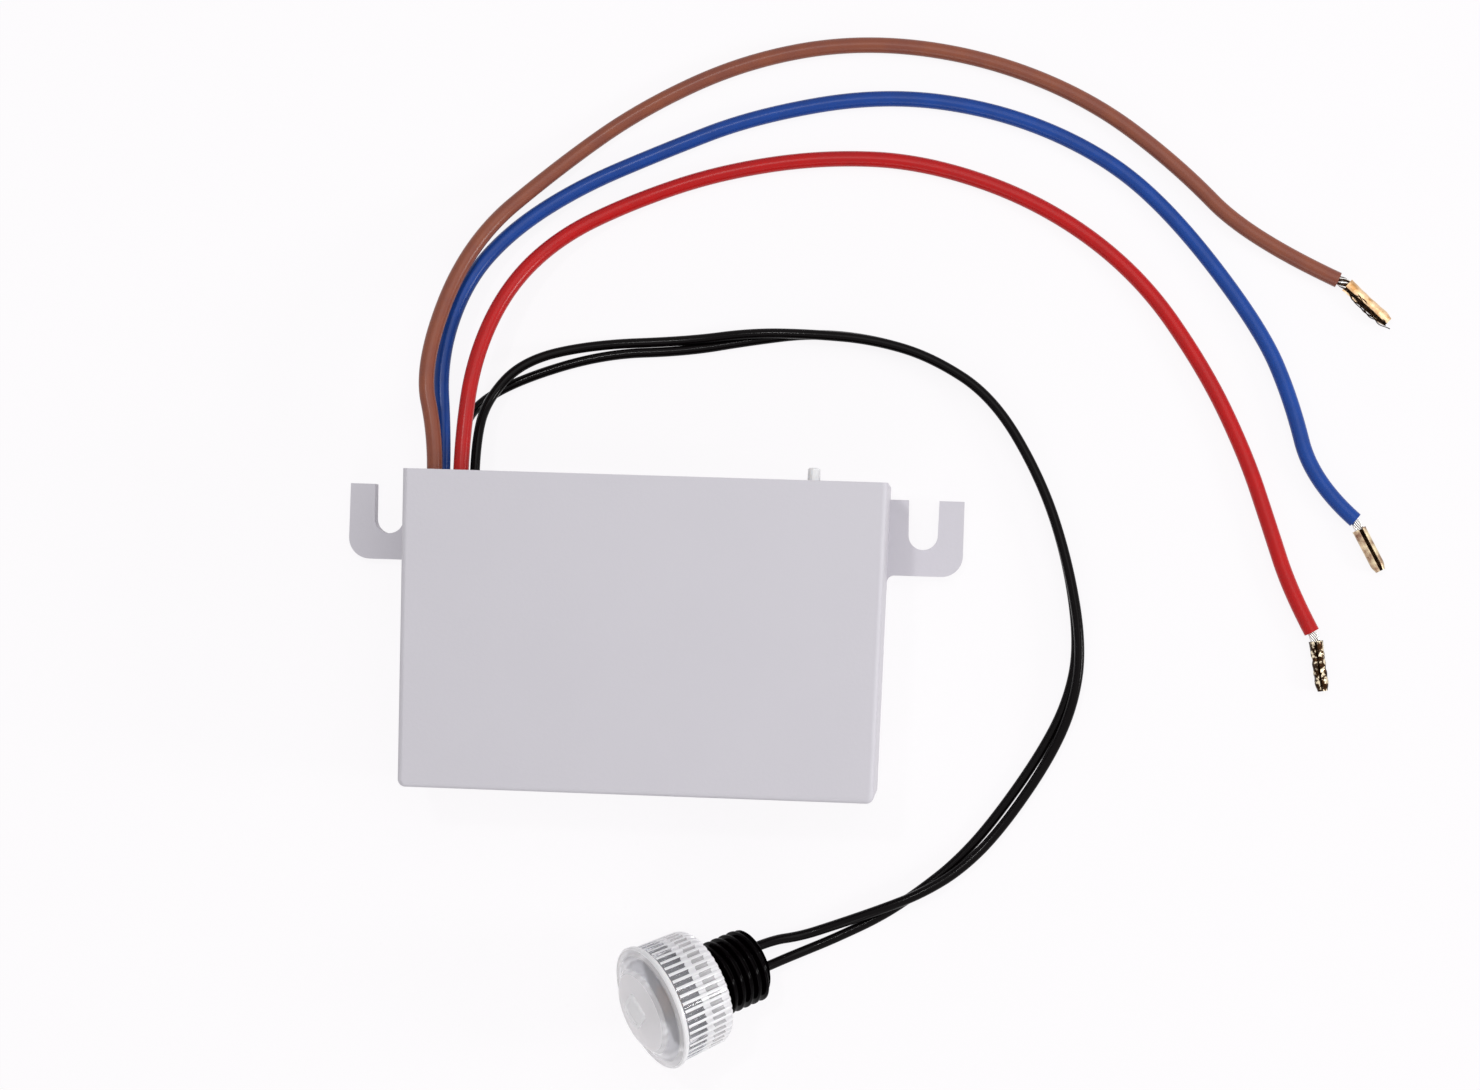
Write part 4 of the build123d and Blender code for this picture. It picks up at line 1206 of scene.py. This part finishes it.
@dataclass(frozen=True)
class SensorHead:
    """The threaded stem with its ribbed cap, in its own directions: z runs to the lens.

    Heights run along the stem from its lead end. The cap starts where the thread ends.
    """

    origin: Point = (18.1, -51.9, 4.8855)
    lens_way: Point = (-0.787262, -0.339049, 0.515038)
    level_way: Point = (-0.395546, 0.918446, 0.0)
    crest: float = 6.0
    root: float = 5.08
    pitch: float = 1.5
    crest_flat: float = 0.12
    flank: float = 0.72
    thread_length: float = 9.4
    thread_steps: tuple[int, int] = (190, 120)
    chamfer: float = 0.5
    chamfer_length: float = 0.5
    bore: float = 3.6
    bore_chamfer: float = 0.15
    inner_radius: float = 5.6
    stem_top: float = 13.2
    rear_radius: float = 9.4
    rim_height: float = 1.0
    front_radius: float = 9.7
    rib_floor: float = 9.12
    ribs: int = 48
    rib_steps: int = 10
    rib_rows: int = 26
    flange_start: float = 18.4
    flange_end: float = 19.3
    flange_radius: float = 10.15
    shoulder_radius: float = 9.2
    plateau_radius: float = 6.9
    plateau_height: float = 21.0
    apex: float = 22.3
    face_rows: int = 44
    inner_wall: float = 7.9
    hollow_top: tuple[tuple[float, float], ...] = (
        (6.5, 19.3), (6.0, 19.55), (4.5, 20.1), (3.0, 20.5), (1.5, 20.72), (0.0, 20.78),
    )
    half_clear_rings: tuple[float, float] = (6.5, 8.7)
    dish_start: float = 7.0
    line_width: float = 0.35
    band: tuple[float, float] = (13.4, 14.7)
    rear_band: float = 11.1
    square_place: tuple[float, float] = (0.6, -0.8)
    square_size: float = 4.6
    square_turn: float = 24.0
    square_power: int = 6
    square_steps: int = 48
    square_rows: tuple[tuple[float, float], ...] = (
        (0.0, -0.5), (1.0, -0.5), (1.0, 0.3), (0.95, 0.38), (0.78, 0.38), (0.72, 0.1), (0.0, 0.1),
    )
    fit_gap: float = 0.04
    turned_steps: int = 96

    def placing(self) -> Placing:
        """The head's place: x level, y across, z along the stem."""
        along, level = np.array(self.lens_way), np.array(self.level_way)
        return Placing(np.array(self.origin), np.stack([level, np.cross(along, level), along]))

    def stem_surface(self) -> np.ndarray:
        """The stem: crest less a wave of one pitch that climbs with the angle, then plain.

        Returns:
            Array of rows along the closed outline by steps round the axis by 3.
        """
        rows, columns = self.thread_steps
        turn = round_turn(columns)[None, :]
        height = np.linspace(0, self.thread_length, rows)[:, None]
        phase = (height / self.pitch - turn / (2 * np.pi)) % 1
        wave = eased((np.abs(2 * phase - 1) - self.crest_flat) / self.flank)
        radius = self.root + (self.crest - self.root) * wave
        limit = self.crest - self.chamfer + height * (self.chamfer / self.chamfer_length)
        radius = np.minimum(radius, np.minimum(limit, self.crest))
        plain = np.array([
            (self.inner_radius, self.thread_length), (self.inner_radius, self.stem_top),
            (self.bore, self.stem_top), (self.bore, self.bore_chamfer), (self.bore + self.bore_chamfer, 0.0),
        ])
        return np.concatenate([polar(radius, turn, height), turned(plain, columns)])

    def dome_height(self, radius: np.ndarray) -> np.ndarray:
        """Height of the dome's ball: its middle plus the root of ball radius squared less radius squared.

        Args:
            radius: Distance from the head's axis.

        Returns:
            The height along the axis at each distance.
        """
        rise = self.apex - self.plateau_height
        ball = (self.plateau_radius ** 2 + rise ** 2) / (2 * rise)
        return self.apex - ball + np.sqrt(ball ** 2 - radius ** 2)

    def cap_profile(self) -> tuple[np.ndarray, np.ndarray, np.ndarray]:
        """The cap's outline from the dome's top round the rear rim to the hollow's top.

        The face follows the dome's ball and eases down to the flange near its edge.

        Returns:
            Rows of radius and height, how much each row is ribbed, and each row's zone.
        """
        radius = np.linspace(0.0, self.shoulder_radius, self.face_rows)
        front = self.flange_end + 0.1
        edge = self.shoulder_radius - self.plateau_radius
        fall = eased((radius - self.plateau_radius + 0.8) / (edge + 0.6))
        face = np.column_stack([radius, front + (self.dome_height(radius) - front) * (1 - fall)])
        flange = rounded([
            (self.shoulder_radius, front, 0), (self.flange_radius, self.flange_end - 0.05, 0.35),
            (self.flange_radius - 0.05, self.flange_start, 0.25), (self.front_radius, self.flange_start, 0),
        ])[1:]
        start, rear = self.thread_length, self.thread_length + self.rim_height
        rib_height = np.linspace(self.flange_start, rear, self.rib_rows)
        slope = (self.front_radius - self.rear_radius) / (self.flange_start - rear)
        ribs = np.column_stack([self.rear_radius + (rib_height - rear) * slope, rib_height])
        rim = rounded([
            (self.rear_radius, rear, 0), (self.rear_radius - 0.3, start + 0.25, 0.35),
            (self.rear_radius - 0.9, start, 0.3), (self.inner_wall, start, 0.1),
            (self.inner_wall, start + 0.5, 0),
        ])[1:]
        inner = np.array([
            (self.inner_wall, rear), (self.inner_wall, self.flange_start - 0.4),
            (self.inner_wall - 0.3, self.flange_start), *self.hollow_top,
        ])
        parts = [face, flange, ribs, rim, inner]
        zone = np.repeat(np.arange(len(parts)), [len(part) for part in parts])
        ribbed = np.where(zone == 2, 1.0, 0.0)
        ribbed[zone == 3] = np.linspace(0.9, 0, len(rim)) ** 2
        return np.vstack(parts), ribbed, zone

    def build_cap(self) -> None:
        """The cap: its outline turned round, with the radius let in between the ribs.

        Rib crests, the rear rim, the flange and the band over the holder are milky, the
        grooves are clear in front of the band and half clear behind it, and the dome is
        frosted. Towards its edge the face is half clear, clear as a dish and half clear again.
        A small plain square stands on the dome.
        """
        columns = self.ribs * self.rib_steps
        profile, ribbed, zone = self.cap_profile()
        phase = (np.arange(columns) / self.rib_steps) % 1
        groove = eased((np.abs(2 * phase - 1) - 0.35) / 0.25)
        depth = ribbed[:, None] * groove[None, :] * (1 - self.rib_floor / self.front_radius)
        place = self.placing()
        points = place.put(turned(profile, columns, 1 - depth))
        clear, dish, half, milky, frosted = range(5)
        zone = zone[:-1]
        rows = np.array([frosted, milky, milky, milky, clear])[zone]
        across, height = ((profile[:-1] + profile[1:]) / 2).T
        inner_ring, outer_ring = self.half_clear_rings
        for low, slot in ((inner_ring, half), (self.dish_start, dish), (outer_ring, half)):
            rows = np.where((zone == 0) & (across > low), slot, rows)
        rows = np.where((zone == 1) & (across < self.flange_radius - self.line_width), half, rows)
        slots = np.repeat(rows[:, None], columns, axis=1)
        window = (np.abs(2 * (phase + 0.05) - 1) > 0.34)[None, :]
        height, ribs = height[:, None], zone[:, None] == 2
        slots = np.where(ribs & window & (height > self.band[1]), clear, slots)
        slots = np.where(ribs & window & (height < self.band[0]) & (height > self.rear_band), half, slots)
        slots = np.where(ribs & (height > self.flange_start - self.line_width), clear, slots)
        finishes = (CLEAR_CAP, DISH_CAP, HALF_CLEAR_CAP, MILKY_CAP, FROSTED_CAP)
        shell = grid_patch(points, close_columns=True, slot=slots)
        Piece("cap_shell", finishes, "lens_cap", "clear_plastic", sharp=50).build(
            [shell, self.dome_square(place, milky)]
        )

    def dome_square(self, place: Placing, slot: int) -> Patch:
        """The plain raised square on the dome: outlines of several sizes and heights, closed on top.

        Its outline is the curve on which the sixth powers of x and y add up to one, and its
        rows give each outline's share of the size and its height over the dome.

        Args:
            place: The head's place.
            slot: The finish number.

        Returns:
            The square's patch.
        """
        turn, power = round_turn(self.square_steps), self.square_power
        reach = 1 / (np.abs(np.cos(turn)) ** power + np.abs(np.sin(turn)) ** power) ** (1 / power)
        lean = math.radians(self.square_turn)
        outline = np.stack([reach * np.cos(turn + lean), reach * np.sin(turn + lean)], -1)
        outline = outline * self.square_size / 2
        table = np.array(self.square_rows)
        flat = outline[None] * table[:, :1, None] + np.array(self.square_place)
        height = self.dome_height(np.sqrt((flat ** 2).sum(-1))) + table[:, 1:]
        points = np.concatenate([flat, height[..., None]], -1)
        return grid_patch(place.put(points), close_columns=True, slot=slot)

    def build_turned(
        self, piece: Piece, outline: list[Row], closed: bool = True, dark: tuple[float, float] = (0.0, 0.0),
    ) -> None:
        """A plain turned piece of the head.

        Args:
            piece: The piece, with the finish of its front face as a second one if it has its own.
            outline: Rows of radius, height and rounding; a ring repeats its first row last.
            closed: Whether it is a ring, or reaches the axis at both ends.
            dark: Radius below which, and height above which, faces take the second finish,
            which on the holder ring is the dark grey of painted shade.
        """
        profile = rounded(outline)
        rows = np.vstack([profile, profile[:1]]) if closed else profile
        across, height = ((rows[:-1] + rows[1:]) / 2).T
        slots = ((across < dark[0]) & (height > dark[1])).astype(int)
        points = self.placing().put(turned(profile, self.turned_steps))
        piece.build([grid_patch(points, close_rows=closed, close_columns=True, slot=slots)])

    def build(self) -> None:
        """Every piece of the head that shows."""
        points = self.placing().put(self.stem_surface())
        stem = Piece("threaded_stem", (BLACK_STEM,), "sensor_stem", "black_plastic", sharp=45)
        stem.build([grid_patch(points, close_rows=True, close_columns=True)])
        self.build_cap()
        outer = self.inner_wall - self.fit_gap
        # The holder ring is white plastic. Above 13.6 mm its rim and front face take a dark grey of painted
        # shade, which shows through the cap's windows
        self.build_turned(
            Piece("holder_ring", (WHITE_HOLDER, HOLDER_PAINTED_SHADE), "cell_holder", "white_plastic"),
            [
                (0, 13.2, 0), (outer, 13.2, 0.2), (outer, 13.6, 0.01), (outer, 15.4, 0.2), (7.3, 15.38, 0.1),
                (7.1, 15.2, 0.05), (2.6, 15.2, 0.1), (2.6, 14.73, 0.05), (0, 14.73, 0),
            ],
            closed=False, dark=(8.0, 13.6),
        )
        self.build_turned(
            Piece("seal_washer", (GREY_SEAL,), "seal_ring", "seal_rubber"),
            [
                (6.7, 9.6, 0), (outer, 9.6, 0.3), (outer, 11.2, 0.3), (5.66, 11.2, 0.3), (5.66, 9.6, 0.3),
                (6.7, 9.6, 0),
            ],
        )
        self.build_turned(
            Piece("cell_disc", (CELL_FACE,), "photocell", "cell_face"),
            [(0, 14.76, 0), (2.55, 14.76, 0.2), (2.55, 16.8, 0.3), (0, 16.83, 0)],
            closed=False,
        )
        log.info("sensor head ready")


def main() -> None:
    """Builds the switch in order: camera and leads first, then the box and the sensor."""
    logging.basicConfig(level=logging.INFO, format="%(name)s: %(message)s")
    grain_group()
    drift_group()
    Studio().build()
    for lead in LEADS:
        lead.build()
    Housing().build()
    InnerParts().build()
    SensorHead().build()


if __name__ == "__main__":
    main()
